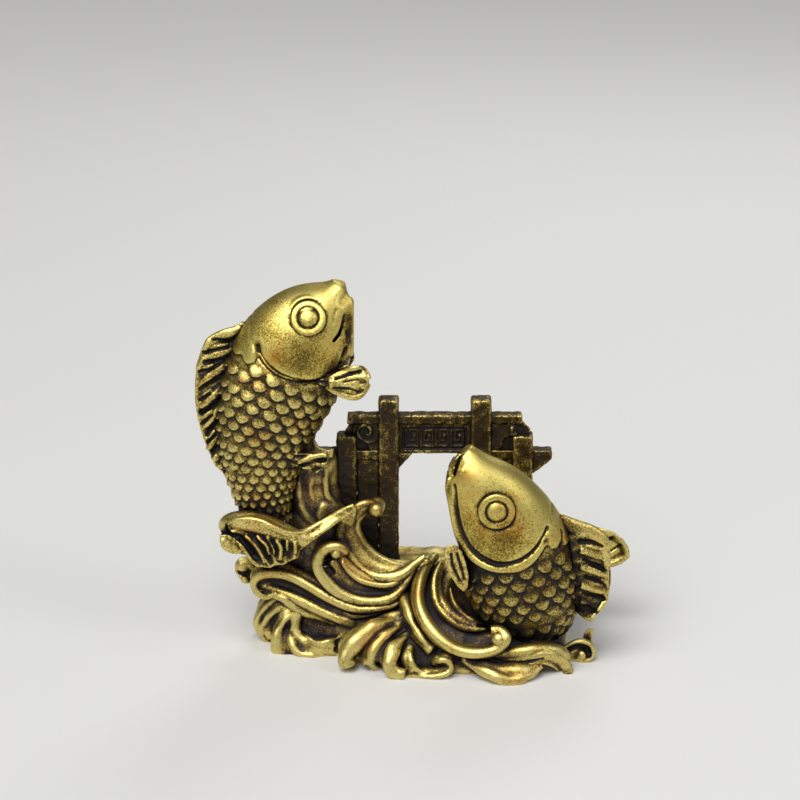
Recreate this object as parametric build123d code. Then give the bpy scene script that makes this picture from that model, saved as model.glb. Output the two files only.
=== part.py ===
from build123d import *
import os

# A small cast brass ornament: two carp leap past a river gate, out of a mound of curling waves.
# Millimetres. X runs to the viewer's right, Y away from the viewer and Z up. The origin is on the
# underside, beneath the middle of the mound. Every cast or worked piece is a solid of its own, and
# a piece that seats on another takes the other's shape where they meet.

# Mound of water, the main casting
BASE_LENGTH = 44.0
BASE_DEPTH = 22.5
MOUND_HEIGHT = 12.0
OVERRUN = 60.0  # how far the cutting blocks reach
VIEWER = Vector(0, -1, 0)

# Hollow in the mound that the right carp rises from
BOWL_LENGTH = 20.0
BOWL_DEPTH = 19.0
BOWL_HEIGHT = 11.0

# Thickest girth of the ridges of water, and of the beads that their tips curl into
CREST_GIRTH = 3.6
RIM_GIRTH = 2.0
SKIRT_GIRTH = 2.8
BEAD_GIRTH = 2.2
SHEET_THICKNESS = 1.2

# Splash that holds the left carp off the mound and ties it to the gate. It ends a little above the
# gate's side beams
SPLASH_WIDTH = 9.6
SPLASH_DEPTH = 5.2
SPLASH_OVER_BEAM = 0.7

# Gate of four posts
GATE_Y = 2.9
GATE_X = 1.1
INNER_SPAN = 12.5
OUTER_SPAN = 23.9
POST_WIDTH = 2.75
POST_DEPTH = 3.0
POST_TENON = 3.0
INNER_POST_TOP = 35.2
OUTER_POST_TOP = 30.1
POST_ROUND = 0.4
BEAM_LENGTH = 23.6
BEAM_HEIGHT = 1.4
BEAM_DEPTH = 2.0
BEAM_TOP = 33.0
PLAQUE_HEIGHT = 4.2
PLAQUE_DEPTH = 1.3
PLAQUE_RIM = 0.45
PLAQUE_RECESS = 0.35
SIDE_BEAM_TOP = 27.9
SIDE_BEAM_HEIGHT = 1.3
CORBEL_LENGTH = 2.6
CORBEL_HEIGHT = 3.4
PANEL_DEPTH = 1.2
CLOUD_REACH = 3.2
CLOUD_HEIGHT = 3.6
SPANDREL_REACH = 1.9
SPANDREL_HEIGHT = 2.3
BRACKET_DEPTH = 1.6

# Left carp, standing on its tail
LEFT_RISE = 32.5
LEFT_HEIGHT = 15.6
LEFT_THICKNESS = 10.6
LEFT_ROOT_SHARES = (-0.475, -0.067, 1.592)
LEFT_GILL = 6.9

# Right carp, rising out of its bowl with the tail curled up behind
RIGHT_RISE = 25.8
RIGHT_HEIGHT = 14.8
RIGHT_THICKNESS = 10.4
RIGHT_ROOT_SHARES = (0.323, -0.133, 0.533)
RIGHT_GILL = 6.9

# Sizes that both carp share
GILL_STEP = 0.35
EYE_GIRTH = 5.2
PUPIL_GIRTH = 2.7
EYE_STAND = 0.45
EYE_SINK = 0.9
EYE_GROOVE = 0.3
MOUTH_GAP = 0.7
MOUTH_DEPTH = 1.5
FIN_SHEET = 0.8
FIN_RAY = 1.5
FIN_ROOT = 1.0
DORSAL_REACH = 4.2
PECTORAL_REACH = 5.3
ANAL_REACH = 4.2
TAIL_FOLD_GIRTH = 2.9
TAIL_REACH = 8.4


def on_base(shares):
    """A place in the waves, as shares of the mound's length, depth and height."""
    x, y, z = shares[:3]
    return Vector(x * BASE_LENGTH, y * BASE_DEPTH, z * MOUND_HEIGHT)


def run_of(points, i):
    """The direction of a route at its point i."""
    return (points[min(i + 1, len(points) - 1)] - points[max(i - 1, 0)]).normalized()


def square_to(direction, reference):
    """The part of a reference direction that is square to a direction."""
    return (reference - direction * direction.dot(reference)).normalized()


def horn(points, girths):
    """A round, tapering ridge: circles evenly spaced along a smooth route through the points, lofted."""
    route = Spline(*points)
    lengths = [0]
    for start, end in zip(points, points[1:]):
        lengths.append(lengths[-1] + (end - start).length)
    sections = []
    across = Vector(0, 1, 0)
    for i in range(len(points)):
        at = i / (len(points) - 1)
        j = max(k for k in range(len(points) - 1) if lengths[k] <= at * lengths[-1])
        part = (at * lengths[-1] - lengths[j]) / (lengths[j + 1] - lengths[j])
        girth = girths[j] + (girths[j + 1] - girths[j]) * part
        run = route.tangent_at(at)
        across = square_to(run, across)
        sections.append(Plane(origin=route.position_at(at), x_dir=across, z_dir=run) * Circle(girth / 2))
    return loft(sections)


def ridge(girth, shares, bead=0):
    """A ridge of water on the mound. Each row of shares is a place and the share of the full girth
    there. A bead closes the tip where the crest curls over."""
    points = [on_base(row) for row in shares]
    solid = horn(points, [row[3] * girth for row in shares])
    if bead:
        solid += Pos(*points[-1]) * Sphere(bead / 2)
    return solid


def water_sheet(thickness, shares):
    """A curved sheet of water: a loft of flat ellipses, each between two places on the mound."""
    edges = [(on_base(outer), on_base(inner)) for outer, inner in shares]
    middles = [(outer + inner) / 2 for outer, inner in edges]
    sections = []
    for i, (outer, inner) in enumerate(edges):
        across = (inner - outer).normalized()
        place = Plane(origin=middles[i], x_dir=across, z_dir=square_to(across, run_of(middles, i)))
        sections.append(place * Ellipse((inner - outer).length / 2, thickness / 2))
    return loft(sections)


def largest(shape):
    """The largest solid of a shape: what is left of a piece once its seats are cut."""
    return max(shape.solids(), key=lambda solid: solid.volume)


def boxes_meet(first, second):
    return all(
        getattr(first.min, k) <= getattr(second.max, k) and getattr(second.min, k) <= getattr(first.max, k)
        for k in ("X", "Y", "Z")
    )


def seat(shape, forms):
    """Cuts a shape to the forms that it seats on, so that the two meet face to face.
    forms is a list of shapes, each with the box round it."""
    around = shape.bounding_box()
    for form, box in forms:
        if boxes_meet(around, box):
            shape = shape - form
    return largest(shape)


def boxed(shapes):
    return [(shape, shape.bounding_box()) for shape in shapes]


def above_table(shape):
    """Keeps what stands above the underside."""
    return shape & Pos(0, 0, OVERRUN / 2) * Box(2 * OVERRUN, 2 * OVERRUN, OVERRUN)


# Outline of the mound on the table, as shares of its length and depth
OUTLINE_SHARES = [
    (-0.52, 0.18), (-0.49, -0.02), (-0.375, -0.10), (-0.26, -0.24), (-0.15, -0.39), (0.0, -0.44),
    (0.135, -0.465), (0.26, -0.465), (0.375, -0.37), (0.45, -0.155), (0.475, 0.09), (0.41, 0.355),
    (0.205, 0.49), (-0.07, 0.51), (-0.295, 0.48), (-0.455, 0.375),
]
# Levels of the mound: height share, length share, depth share and how far each is shifted back
LEVEL_SHARES = [(0, 0.93, 0.93, 0.0), (0.3, 0.9, 0.88, 0.01), (0.67, 0.76, 0.6, 0.05), (1.0, 0.6, 0.3, 0.075)]
MOUND_MIDDLE_SHARES = (-0.01, 0.12)
BOWL_PLACE_SHARES = (0.26, -0.30, 0.86)


def mound():
    """The hill of water: outlines that shrink as they rise, lofted, with the bowl taken out."""
    levels = []
    for height, length, depth, back in LEVEL_SHARES:
        middle_x, middle_y = MOUND_MIDDLE_SHARES
        ring = [
            (
                (middle_x + (x - middle_x) * length) * BASE_LENGTH,
                (middle_y + back + (y - middle_y) * depth) * BASE_DEPTH,
            )
            for x, y in OUTLINE_SHARES
        ]
        levels.append(Pos(0, 0, height * MOUND_HEIGHT) * make_face(Spline(*ring, periodic=True)))
    bowl = scale(Sphere(1), by=(BOWL_LENGTH / 2, BOWL_DEPTH / 2, BOWL_HEIGHT / 2))
    return loft(levels) - Pos(*on_base(BOWL_PLACE_SHARES)) * bowl


# Ridges of water. Each row: place as shares of the mound, then the share of the full girth
GATE_CREST_SHARES = [
    (-0.027, -0.044, 1.02, 0.80), (-0.097, -0.067, 0.96, 1.0), (-0.167, -0.053, 1.04, 1.0),
    (-0.215, -0.036, 1.21, 0.92), (-0.233, -0.030, 1.42, 0.74), (-0.219, -0.030, 1.61, 0.52),
    (-0.187, -0.033, 1.75, 0.36), (-0.152, -0.036, 1.755, 0.36),
]
HOOK_OUTER_SHARES = [
    (-0.058, -0.133, 0.75, 0.7), (-0.112, -0.151, 0.72, 0.85), (-0.188, -0.151, 0.71, 0.95),
    (-0.258, -0.133, 0.79, 0.95), (-0.312, -0.116, 0.94, 0.9), (-0.336, -0.102, 1.12, 0.8),
    (-0.321, -0.098, 1.26, 0.7), (-0.288, -0.098, 1.31, 0.75), (-0.267, -0.098, 1.25, 0.8),
]
HOOK_INNER_SHARES = [
    (-0.27, -0.098, 1.24, 0.7), (-0.233, -0.115, 1.05, 0.9), (-0.179, -0.125, 0.92, 1.05),
    (-0.106, -0.125, 0.86, 1.05), (-0.045, -0.1, 0.94, 0.9), (0.003, -0.07, 1.12, 0.6),
]
# Sheet between the two rims of the hook
HOOK_SHEET_SHARES = [
    ((-0.07, -0.13, 0.75), (-0.02, -0.085, 1.0)), ((-0.15, -0.15, 0.71), (-0.1, -0.12, 0.87)),
    ((-0.225, -0.142, 0.75), (-0.18, -0.12, 0.93)), ((-0.29, -0.125, 0.87), (-0.235, -0.112, 1.06)),
    ((-0.33, -0.104, 1.06), (-0.262, -0.1, 1.2)),
]
RIBBON_SHARES = [
    (-0.22, -0.16, 0.39, 0.6), (-0.31, -0.11, 0.5, 0.9), (-0.39, -0.062, 0.61, 0.9),
    (-0.455, -0.02, 0.69, 0.8), (-0.508, 0.0, 0.75, 0.75), (-0.53, 0.0, 0.85, 0.85),
    (-0.51, -0.013, 0.945, 0.95), (-0.451, -0.027, 0.97, 1.0),
    (-0.385, -0.062, 0.91, 1.0), (-0.318, -0.107, 0.775, 0.95), (-0.248, -0.151, 0.674, 0.9),
    (-0.167, -0.187, 0.626, 0.85), (-0.092, -0.17, 0.675, 0.65),
]
BOWL_RIM_SHARES = [
    (0.03, 0.022, 1.1, 0.6), (-0.006, -0.089, 1.01, 0.8), (-0.027, -0.196, 0.85, 0.95),
    (-0.021, -0.293, 0.68, 0.95), (0.015, -0.382, 0.5, 1.0), (0.076, -0.436, 0.35, 1.0),
    (0.155, -0.453, 0.31, 0.95), (0.215, -0.462, 0.38, 0.95), (0.229, -0.455, 0.47, 0.9),
]
BOWL_FOLD_SHARES = [
    (0.048, -0.022, 1.03, 0.6), (0.03, -0.111, 0.87, 0.8), (0.048, -0.204, 0.7, 0.85),
    (0.094, -0.284, 0.58, 0.85), (0.155, -0.338, 0.52, 0.6),
]
TONGUE_SHARES = [
    (0.17, -0.43, 0.27, 0.35), (0.252, -0.45, 0.29, 0.6), (0.342, -0.43, 0.31, 0.7),
    (0.409, -0.38, 0.22, 0.7), (0.43, -0.34, 0.09, 0.6), (0.4, -0.325, 0.03, 0.5),
]
RIGHT_CURL_SHARES = [
    (0.388, -0.244, 0.17, 0.55), (0.439, -0.2, 0.26, 0.6), (0.482, -0.156, 0.31, 0.6),
    (0.506, -0.124, 0.2, 0.6), (0.494, -0.124, 0.08, 0.6), (0.472, -0.142, 0.1, 0.6),
]
LEFT_CURL_SHARES = [
    (-0.4, 0.12, 0.76, 0.6), (-0.46, 0.1, 0.88, 0.66), (-0.521, 0.092, 1.02, 0.66),
    (-0.562, 0.089, 1.03, 0.62), (-0.579, 0.089, 0.92, 0.56), (-0.552, 0.089, 0.83, 0.45),
]
BACK_LEFT_CREST_SHARES = [
    (0.0, 0.36, 0.78, 0.5), (-0.11, 0.4, 0.72, 0.8), (-0.23, 0.405, 0.74, 0.9),
    (-0.35, 0.36, 0.86, 0.85), (-0.425, 0.3, 1.04, 0.65), (-0.44, 0.27, 1.2, 0.48),
    (-0.405, 0.26, 1.3, 0.42), (-0.37, 0.265, 1.24, 0.42),
]
BACK_RIGHT_CREST_SHARES = [
    (-0.02, 0.4, 0.8, 0.4), (0.09, 0.45, 0.66, 0.7), (0.21, 0.445, 0.58, 0.85), (0.33, 0.38, 0.6, 0.8),
    (0.42, 0.28, 0.72, 0.65), (0.452, 0.22, 0.88, 0.48), (0.43, 0.2, 1.0, 0.42), (0.395, 0.205, 0.97, 0.42),
]
# Low ridges of the mound's own skirt, cast in one with it
SKIRT_SHARES = [
    # Swirls at the left end
    [
        (-0.442, 0.022, 0.63, 0.5), (-0.488, 0.067, 0.46, 0.85), (-0.512, 0.098, 0.27, 0.95),
        (-0.5, 0.107, 0.08, 0.7),
    ],
    [
        (-0.424, -0.009, 0.58, 0.5), (-0.467, 0.027, 0.44, 0.8), (-0.491, 0.053, 0.26, 0.9),
        (-0.479, 0.062, 0.08, 0.7),
    ],
    # Fan at the front left
    [
        (-0.409, -0.044, 0.53, 0.45), (-0.445, -0.036, 0.34, 0.8), (-0.455, -0.044, 0.18, 0.95),
        (-0.421, -0.08, 0.07, 0.95), (-0.355, -0.124, 0.06, 0.85), (-0.285, -0.16, 0.1, 0.55),
    ],
    [
        (-0.391, -0.071, 0.5, 0.35), (-0.409, -0.08, 0.32, 0.5), (-0.394, -0.102, 0.18, 0.55),
        (-0.345, -0.142, 0.13, 0.55), (-0.282, -0.178, 0.17, 0.35),
    ],
    # Fan of lobes at the front
    [
        (-0.082, -0.231, 0.585, 0.33), (-0.148, -0.267, 0.5, 0.62), (-0.209, -0.302, 0.36, 0.9),
        (-0.248, -0.324, 0.2, 1.1), (-0.233, -0.338, 0.08, 0.9),
    ],
    [
        (-0.073, -0.258, 0.52, 0.3), (-0.124, -0.311, 0.4, 0.55), (-0.167, -0.356, 0.25, 0.75),
        (-0.173, -0.382, 0.1, 0.75),
    ],
    [
        (-0.061, -0.311, 0.42, 0.3), (-0.097, -0.364, 0.3, 0.68), (-0.121, -0.4, 0.19, 0.95),
        (-0.1, -0.418, 0.07, 0.85),
    ],
    [(-0.048, -0.364, 0.3, 0.28), (-0.058, -0.409, 0.19, 0.6), (-0.039, -0.436, 0.07, 0.6)],
    # Curl at the foot of the fan
    [
        (-0.06, -0.43, 0.05, 0.4), (0.0, -0.452, 0.03, 0.5), (0.045, -0.456, 0.05, 0.5),
        (0.069, -0.453, 0.13, 0.5), (0.058, -0.449, 0.21, 0.5), (0.036, -0.449, 0.19, 0.5),
    ],
    # Shoulder outside the bowl
    [
        (-0.064, -0.178, 0.72, 0.6), (-0.052, -0.249, 0.57, 0.8), (-0.021, -0.329, 0.41, 0.8),
        (0.018, -0.4, 0.27, 0.6),
    ],
    # Leaf at the front right
    [
        (0.106, -0.42, 0.2, 0.4), (0.155, -0.455, 0.13, 0.72), (0.221, -0.49, 0.08, 1.05),
        (0.297, -0.48, 0.1, 0.85), (0.35, -0.435, 0.17, 0.3),
    ],
    # Lobes along the back
    [(-0.06, 0.44, 0.55, 0.4), (-0.15, 0.48, 0.38, 0.75), (-0.26, 0.48, 0.2, 1.0), (-0.33, 0.455, 0.07, 0.8)],
    [(-0.04, 0.46, 0.42, 0.35), (-0.1, 0.495, 0.26, 0.7), (-0.165, 0.505, 0.09, 0.85)],
    [(0.0, 0.46, 0.42, 0.35), (0.03, 0.495, 0.26, 0.65), (-0.01, 0.51, 0.09, 0.8)],
    [(0.04, 0.455, 0.5, 0.4), (0.13, 0.485, 0.32, 0.75), (0.15, 0.485, 0.1, 0.95)],
    [(0.16, 0.45, 0.42, 0.35), (0.27, 0.43, 0.26, 0.7), (0.31, 0.405, 0.09, 0.9)],
    [(-0.33, 0.41, 0.6, 0.4), (-0.42, 0.38, 0.42, 0.75), (-0.465, 0.33, 0.2, 0.95), (-0.45, 0.31, 0.07, 0.8)],
    [(-0.42, 0.27, 0.62, 0.4), (-0.49, 0.24, 0.42, 0.75), (-0.515, 0.2, 0.2, 0.95), (-0.5, 0.18, 0.07, 0.8)],
    [(0.3, 0.36, 0.5, 0.4), (0.4, 0.32, 0.34, 0.8), (0.43, 0.27, 0.09, 0.9)],
    [(0.4, 0.12, 0.5, 0.4), (0.465, 0.1, 0.3, 0.8), (0.47, 0.04, 0.09, 0.9)],
]
# Splash: place of each level as shares of the mound and of the splash's own height, then width and depth
SPLASH_SHARES = [
    (-0.35, 0.1, 0.28, 1.1, 1.3), (-0.35, 0.06, 0.5, 0.95, 1.0), (-0.352, 0.045, 0.75, 0.8, 0.75),
    (-0.36, 0.035, 1.0, 0.72, 0.56),
]


def splash():
    """A flat column of water behind the left carp's tail."""
    levels = []
    height = SIDE_BEAM_TOP + SPLASH_OVER_BEAM
    for x, y, z, wide, deep in SPLASH_SHARES:
        place = Pos(x * BASE_LENGTH, y * BASE_DEPTH, z * height)
        levels.append(place * Ellipse(wide * SPLASH_WIDTH / 2, deep * SPLASH_DEPTH / 2))
    return loft(levels)


# Step along and across a carp's skin, in stations and in shares of its height, that finds its slope
STEP_SHARE = 0.2


class Carp:
    """A carp's body along its own route from the tail's root to the snout.
    routes are offsets from the root, as shares of the rise. heights and thicknesses are the half sizes
    at each point of the route, as shares of the full size. back is the way that the back faces, and turn
    is 1 where that is the viewer's left and -1 where it is the right, so that side is the near flank."""

    def __init__(self, root, rise, height, thickness, routes, heights, thicknesses, back, turn):
        self.points = [root + Vector(*row) * rise for row in routes]
        self.half_heights = [share * height for share in heights]
        self.half_thicknesses = [share * thickness for share in thicknesses]
        self.back = back
        self.turn = turn

    def station(self, at):
        """Middle, run, side and back directions, half height and half thickness at a station, which
        may lie between two of the route's points."""
        i = min(int(at), len(self.points) - 2)
        part = at - i

        def between(a, b):
            return a + (b - a) * part

        middle = between(self.points[i], self.points[i + 1])
        run = between(run_of(self.points, i), run_of(self.points, i + 1)).normalized()
        back = square_to(run, self.back)
        half_height = between(self.half_heights[i], self.half_heights[i + 1])
        half_thickness = between(self.half_thicknesses[i], self.half_thicknesses[i + 1])
        return middle, run, run.cross(back) * self.turn, back, half_height, half_thickness

    def skin(self, at, back_share, face=1):
        """A point on the skin. back_share runs from the belly at -1 to the back at 1, on one flank."""
        middle, _, side, back, half_height, half_thickness = self.station(at)
        across = (1 - back_share**2) ** 0.5
        return middle + back * (half_height * back_share) + side * (half_thickness * across * face)

    def outward(self, at, back_share, face):
        """The direction square to the skin, from points a little to each side along it and across it."""
        along = self.skin(at + STEP_SHARE, back_share, face) - self.skin(at - STEP_SHARE, back_share, face)
        across = self.skin(at, back_share + STEP_SHARE, face) - self.skin(at, back_share - STEP_SHARE, face)
        return (along.cross(across) * (self.turn * face)).normalized()

    def form(self, first=0, last=None, swell=0):
        """The body between two stations, lofted through its ellipses and swollen on both flanks."""
        last = len(self.points) - 1 if last is None else last
        sections = []
        for i in range(first, last + 1):
            middle, run, side, _, half_height, half_thickness = self.station(i)
            place = Plane(origin=middle, x_dir=side, z_dir=run)
            sections.append(place * Ellipse(half_thickness + swell, half_height + swell))
        return loft(sections)

    def rays(self, rows, reach, face=1):
        """Fin rays that leave the skin. Each row: station, back share, share of the reach, and the ray's
        direction as shares along the run, the back and the flank. They start a little under the skin."""
        made = []
        for at, back_share, reach_share, *direction_shares in rows:
            _, run, side, back, _, _ = self.station(at)
            along, up, out = direction_shares
            way = (run * along + back * up + side * (out * face)).normalized()
            root = self.skin(at, back_share, face) - way * FIN_ROOT
            made.append((root, root + way * (reach * reach_share + FIN_ROOT)))
        return made


def fin(rays, facing):
    """A corrugated fin: a loft across its rays, thick on each ray and thin between two of them.
    rays is a list of (root, tip), in order along the fin, and the fin's broad side faces facing."""
    lines = [(*rays[0], FIN_RAY)]
    for (root, tip), (next_root, next_tip) in zip(rays, rays[1:]):
        lines.append(((root + next_root) / 2, (tip + next_tip) / 2, FIN_SHEET))
        lines.append((next_root, next_tip, FIN_RAY))
    sections = []
    for root, tip, thickness in lines:
        way = (tip - root).normalized()
        place = Plane(origin=(root + tip) / 2, x_dir=way, z_dir=way.cross(square_to(way, facing)))
        sections.append(place * Rectangle((tip - root).length, thickness))
    return loft(sections, ruled=True)


def gill_region(carp, at, back_share, radius):
    """The space ahead of the gill's edge: a drum across the head, and all that lies towards the snout."""
    middle, run, side, back, half_height, _ = carp.station(at)
    across = Plane(origin=middle + back * (half_height * back_share), x_dir=run, z_dir=side)
    drum = across * Cylinder(radius, OVERRUN)
    ahead = across * Pos(OVERRUN / 2, 0, 0) * Box(OVERRUN, OVERRUN, OVERRUN)
    return drum, ahead


def eye(carp, at, back_share, face):
    """A round eye, sunk into the head: a disc with a worn rim, a groove round the pupil and a domed pupil."""
    radius, pupil = EYE_GIRTH / 2, PUPIL_GIRTH / 2
    disc = Pos(0, 0, -EYE_SINK / 2) * Cylinder(radius, EYE_SINK)
    disc = chamfer(disc.edges().group_by(Axis.Z)[-1], EYE_GROOVE) - Torus(pupil + EYE_GROOVE, EYE_GROOVE)
    ball = (pupil**2 + EYE_STAND**2) / (2 * EYE_STAND)
    dome = Pos(0, 0, EYE_STAND - ball) * Sphere(ball) & Cylinder(pupil, 2 * EYE_STAND)
    outward = carp.outward(at, back_share, face)
    place = carp.skin(at, back_share, face) + outward * GILL_STEP
    return Plane(origin=place, x_dir=square_to(outward, carp.station(at)[1]), z_dir=outward) * (disc + dome)


def carp_pieces(name, carp, gill, gill_shares, eye_shares, lip_share):
    """Eyes, head and body. The head's cheeks stand proud of the body at the gill's edge, and a slot
    below the upper lip opens the mouth."""
    last = len(carp.points) - 1
    drum, ahead = gill_region(carp, *gill_shares, gill)
    whole = carp.form(HEAD_STATION, last, GILL_STEP)
    middle, run, side, back, half_height, _ = carp.station(last)
    lips = Plane(origin=middle + back * (half_height * lip_share), x_dir=run, z_dir=side)
    slot = lips * Box(2 * MOUTH_DEPTH, MOUTH_GAP, OVERRUN)
    near, far = [eye(carp, *eye_shares, face) for face in (1, -1)]
    head = largest((whole & drum).fuse(whole & ahead) - slot - near - far)
    body = largest(carp.form() - drum - ahead)
    return {
        f"{name}_carp_front_eye": near, f"{name}_carp_back_eye": far,
        f"{name}_carp_head": head, f"{name}_carp_body": body,
    }


# Left carp: route from the tail's root to the snout, and half sizes there
LEFT_ROUTE_SHARES = [
    (0, 0, 0), (-0.027, 0, 0.074), (-0.039, 0, 0.165), (-0.04, 0, 0.268), (-0.026, 0, 0.38),
    (0.001, 0, 0.49), (0.041, 0, 0.605), (0.092, 0, 0.708), (0.15, 0, 0.80), (0.212, 0, 0.88),
    (0.274, 0, 0.95), (0.311, 0, 1.0),
]
LEFT_HEIGHT_SHARES = [0.173, 0.225, 0.28, 0.34, 0.40, 0.442, 0.478, 0.485, 0.442, 0.353, 0.212, 0.109]
LEFT_THICKNESS_SHARES = [0.16, 0.22, 0.29, 0.36, 0.42, 0.47, 0.5, 0.5, 0.46, 0.38, 0.25, 0.13]
# Right carp: the body drops into the bowl and curls up behind
RIGHT_ROUTE_SHARES = [
    (0.27, 0.385, 0.2), (0.235, 0.368, 0.115), (0.171, 0.291, 0.016), (0.078, 0.155, -0.047), (0, 0, 0),
    (-0.047, -0.116, 0.155), (-0.081, -0.155, 0.314), (-0.120, -0.178, 0.473), (-0.182, -0.202, 0.62),
    (-0.256, -0.225, 0.756), (-0.329, -0.24, 0.872), (-0.376, -0.233, 0.953),
]
RIGHT_HEIGHT_SHARES = [0.122, 0.162, 0.223, 0.304, 0.399, 0.466, 0.493, 0.486, 0.432, 0.345, 0.216, 0.101]
RIGHT_THICKNESS_SHARES = [0.144, 0.192, 0.26, 0.327, 0.404, 0.471, 0.5, 0.5, 0.462, 0.375, 0.25, 0.125]
# Station where the head's own loft starts, behind the gill
HEAD_STATION = 4
# Eye and gill: station, and share from the belly at -1 to the back at 1
LEFT_EYE_SHARES = (9.0, 0.38)
RIGHT_EYE_SHARES = (8.75, 0.12)
LEFT_GILL_SHARES = (8.5, 0.22)
RIGHT_GILL_SHARES = (8.45, 0.12)
# Height of the mouth's slot at the snout
LIP_SHARE = -0.25
# Rays: station, back share, reach share, and direction along the run, the back and the flank
LEFT_DORSAL_SHARES = [
    (7.3, 1, 0.3, -0.2, 1, 0), (6.95, 1, 0.75, -0.3, 1, 0), (6.5, 1, 1.0, -0.45, 1, 0),
    (6.0, 1, 1.0, -0.6, 1, 0), (5.5, 1, 0.95, -0.7, 1, 0), (5.0, 1, 0.9, -0.8, 1, 0),
    (4.5, 1, 0.85, -0.9, 1, 0), (4.0, 1, 0.75, -1, 1, 0), (3.5, 1, 0.6, -1.1, 1, 0),
    (2.95, 1, 0.4, -1.2, 1, 0),
]
RIGHT_DORSAL_SHARES = [
    (6.7, 1, 0.6, 0, 1, 0), (6.3, 1, 1.0, -0.1, 1, 0), (5.9, 1, 1.1, -0.15, 1, 0),
    (5.5, 1, 1.1, -0.2, 1, 0), (5.1, 1, 1.1, -0.25, 1, 0), (4.7, 1, 1.1, -0.3, 1, 0),
    (4.3, 1, 1.0, -0.35, 1, 0), (3.85, 1, 0.8, -0.4, 1, 0),
]
LEFT_PECTORAL_SHARES = [
    (7.5, -0.62, 0.95, 0.65, -0.8, 0.15),
    (7.25, -0.62, 1.0, 0.45, -0.89, 0.15),
    (7.0, -0.62, 0.95, 0.22, -0.97, 0.15),
]
LEFT_FAR_PECTORAL_SHARES = [
    (7.75, -0.7, 0.5, 0.65, -0.8, 0.15),
    (7.55, -0.7, 0.55, 0.45, -0.89, 0.15),
    (7.35, -0.7, 0.5, 0.22, -0.97, 0.15),
]
RIGHT_PECTORAL_SHARES = [
    (7.1, -0.93, 0.9, -1, 0.0, 0.3),
    (7.15, -0.8, 1.1, -1, -0.1, 0.3),
    (7.1, -0.66, 0.9, -1, -0.25, 0.3),
]
LEFT_ANAL_SHARES = [
    (3.75, -0.8, 1.0, 0.12, -1, 0),
    (3.45, -0.8, 1.0, -0.05, -1, 0),
    (3.15, -0.8, 0.8, -0.25, -1, 0),
]
# Tips of the rays in each lobe of the right carp's tail, as shares of the tail's reach from its root
RIGHT_TAIL_SHARES = [
    [(0.25, -0.1, 0.5), (0.58, -0.12, 0.55), (0.78, -0.12, 0.3), (0.62, -0.1, 0.0), (0.48, -0.06, -0.12)],
    [(0.05, 0.1, 0.6), (-0.2, 0.25, 0.55), (-0.45, 0.35, 0.35), (-0.5, 0.34, 0.1)],
]
# Fold along the top of the left tail fin, and the rays that drape from it
LEFT_FOLD_SHARES = [
    (-0.575, -0.10, 1.40, 0.55), (-0.61, -0.06, 1.46, 0.75), (-0.598, -0.13, 1.61, 0.9),
    (-0.54, -0.19, 1.67, 1.0), (-0.475, -0.215, 1.62, 1.0), (-0.415, -0.215, 1.51, 0.9),
    (-0.365, -0.195, 1.46, 0.8), (-0.31, -0.165, 1.55, 0.72), (-0.264, -0.13, 1.68, 0.65),
    (-0.222, -0.09, 1.77, 0.45),
]
LEFT_DRAPE_SHARES = [
    ((-0.58, -0.15, 1.55), (-0.50, -0.185, 1.20)), ((-0.55, -0.19, 1.58), (-0.47, -0.215, 1.09)),
    ((-0.51, -0.21, 1.58), (-0.437, -0.225, 1.06)), ((-0.47, -0.215, 1.55), (-0.415, -0.225, 1.12)),
    ((-0.43, -0.215, 1.48), (-0.385, -0.215, 1.16)), ((-0.39, -0.205, 1.44), (-0.355, -0.2, 1.2)),
    ((-0.35, -0.19, 1.45), (-0.33, -0.18, 1.28)), ((-0.305, -0.16, 1.54), (-0.295, -0.15, 1.42)),
]


def left_tail():
    """The tail fin that the left carp stands on: a rolled fold, with rays that drape from it."""
    drape = fin([(on_base(top), on_base(low)) for top, low in LEFT_DRAPE_SHARES], VIEWER)
    return ridge(TAIL_FOLD_GIRTH, LEFT_FOLD_SHARES) + drape


def right_tail(carp):
    """The tail fin behind the right carp: two lobes that spread from the tail's root."""
    middle, run = carp.station(0)[:2]
    root = middle + run * FIN_ROOT
    lobes = []
    for rows in RIGHT_TAIL_SHARES:
        ways = [Vector(*row) for row in rows]
        lobes.append(fin([(root + way * FIN_ROOT, middle + way * TAIL_REACH) for way in ways], VIEWER))
    return lobes[0] + lobes[1]


def gate_block(x_low, x_high, z_low, z_high, depth, y=GATE_Y):
    """A block of the gate between two heights, centred on the gate's plane."""
    size = Box(x_high - x_low, depth, z_high - z_low)
    return Pos((x_low + x_high) / 2, y, (z_low + z_high) / 2) * size


def post(x, top):
    """A square post with worn edges and a tenon that reaches into the mound."""
    block = gate_block(x - POST_WIDTH / 2, x + POST_WIDTH / 2, MOUND_HEIGHT - POST_TENON, top, POST_DEPTH)
    return fillet(block.edges().filter_by(Axis.Z) + block.faces().sort_by(Axis.Z)[-1].edges(), POST_ROUND)


def wedge(x, reach, z, height, depth, way):
    """A three-cornered bracket under a beam. It starts at x and runs towards way."""
    outline = Polyline((x, z), (x + way * reach, z), (x, z - height), close=True)
    return Pos(0, GATE_Y, 0) * extrude(Plane.XZ * make_face(outline), depth / 2, both=True)


# Outline of a cloud bracket, as shares of its reach and height, from the beam's end inwards
CLOUD_SHARES = [(1.0, 0.0), (0.92, -0.45), (0.55, -0.55), (0.42, -0.95), (0.0, -1.0)]


def cloud(x, way):
    """A scrolled bracket under the free end of the top beam."""
    top = BEAM_TOP - BEAM_HEIGHT
    points = [(x + way * out * CLOUD_REACH, top + up * CLOUD_HEIGHT) for out, up in CLOUD_SHARES]
    outline = Spline(*points) + Polyline(points[-1], (x, top), points[0])
    return Pos(0, GATE_Y, 0) * extrude(Plane.XZ * make_face(outline), BRACKET_DEPTH / 2, both=True)


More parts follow.
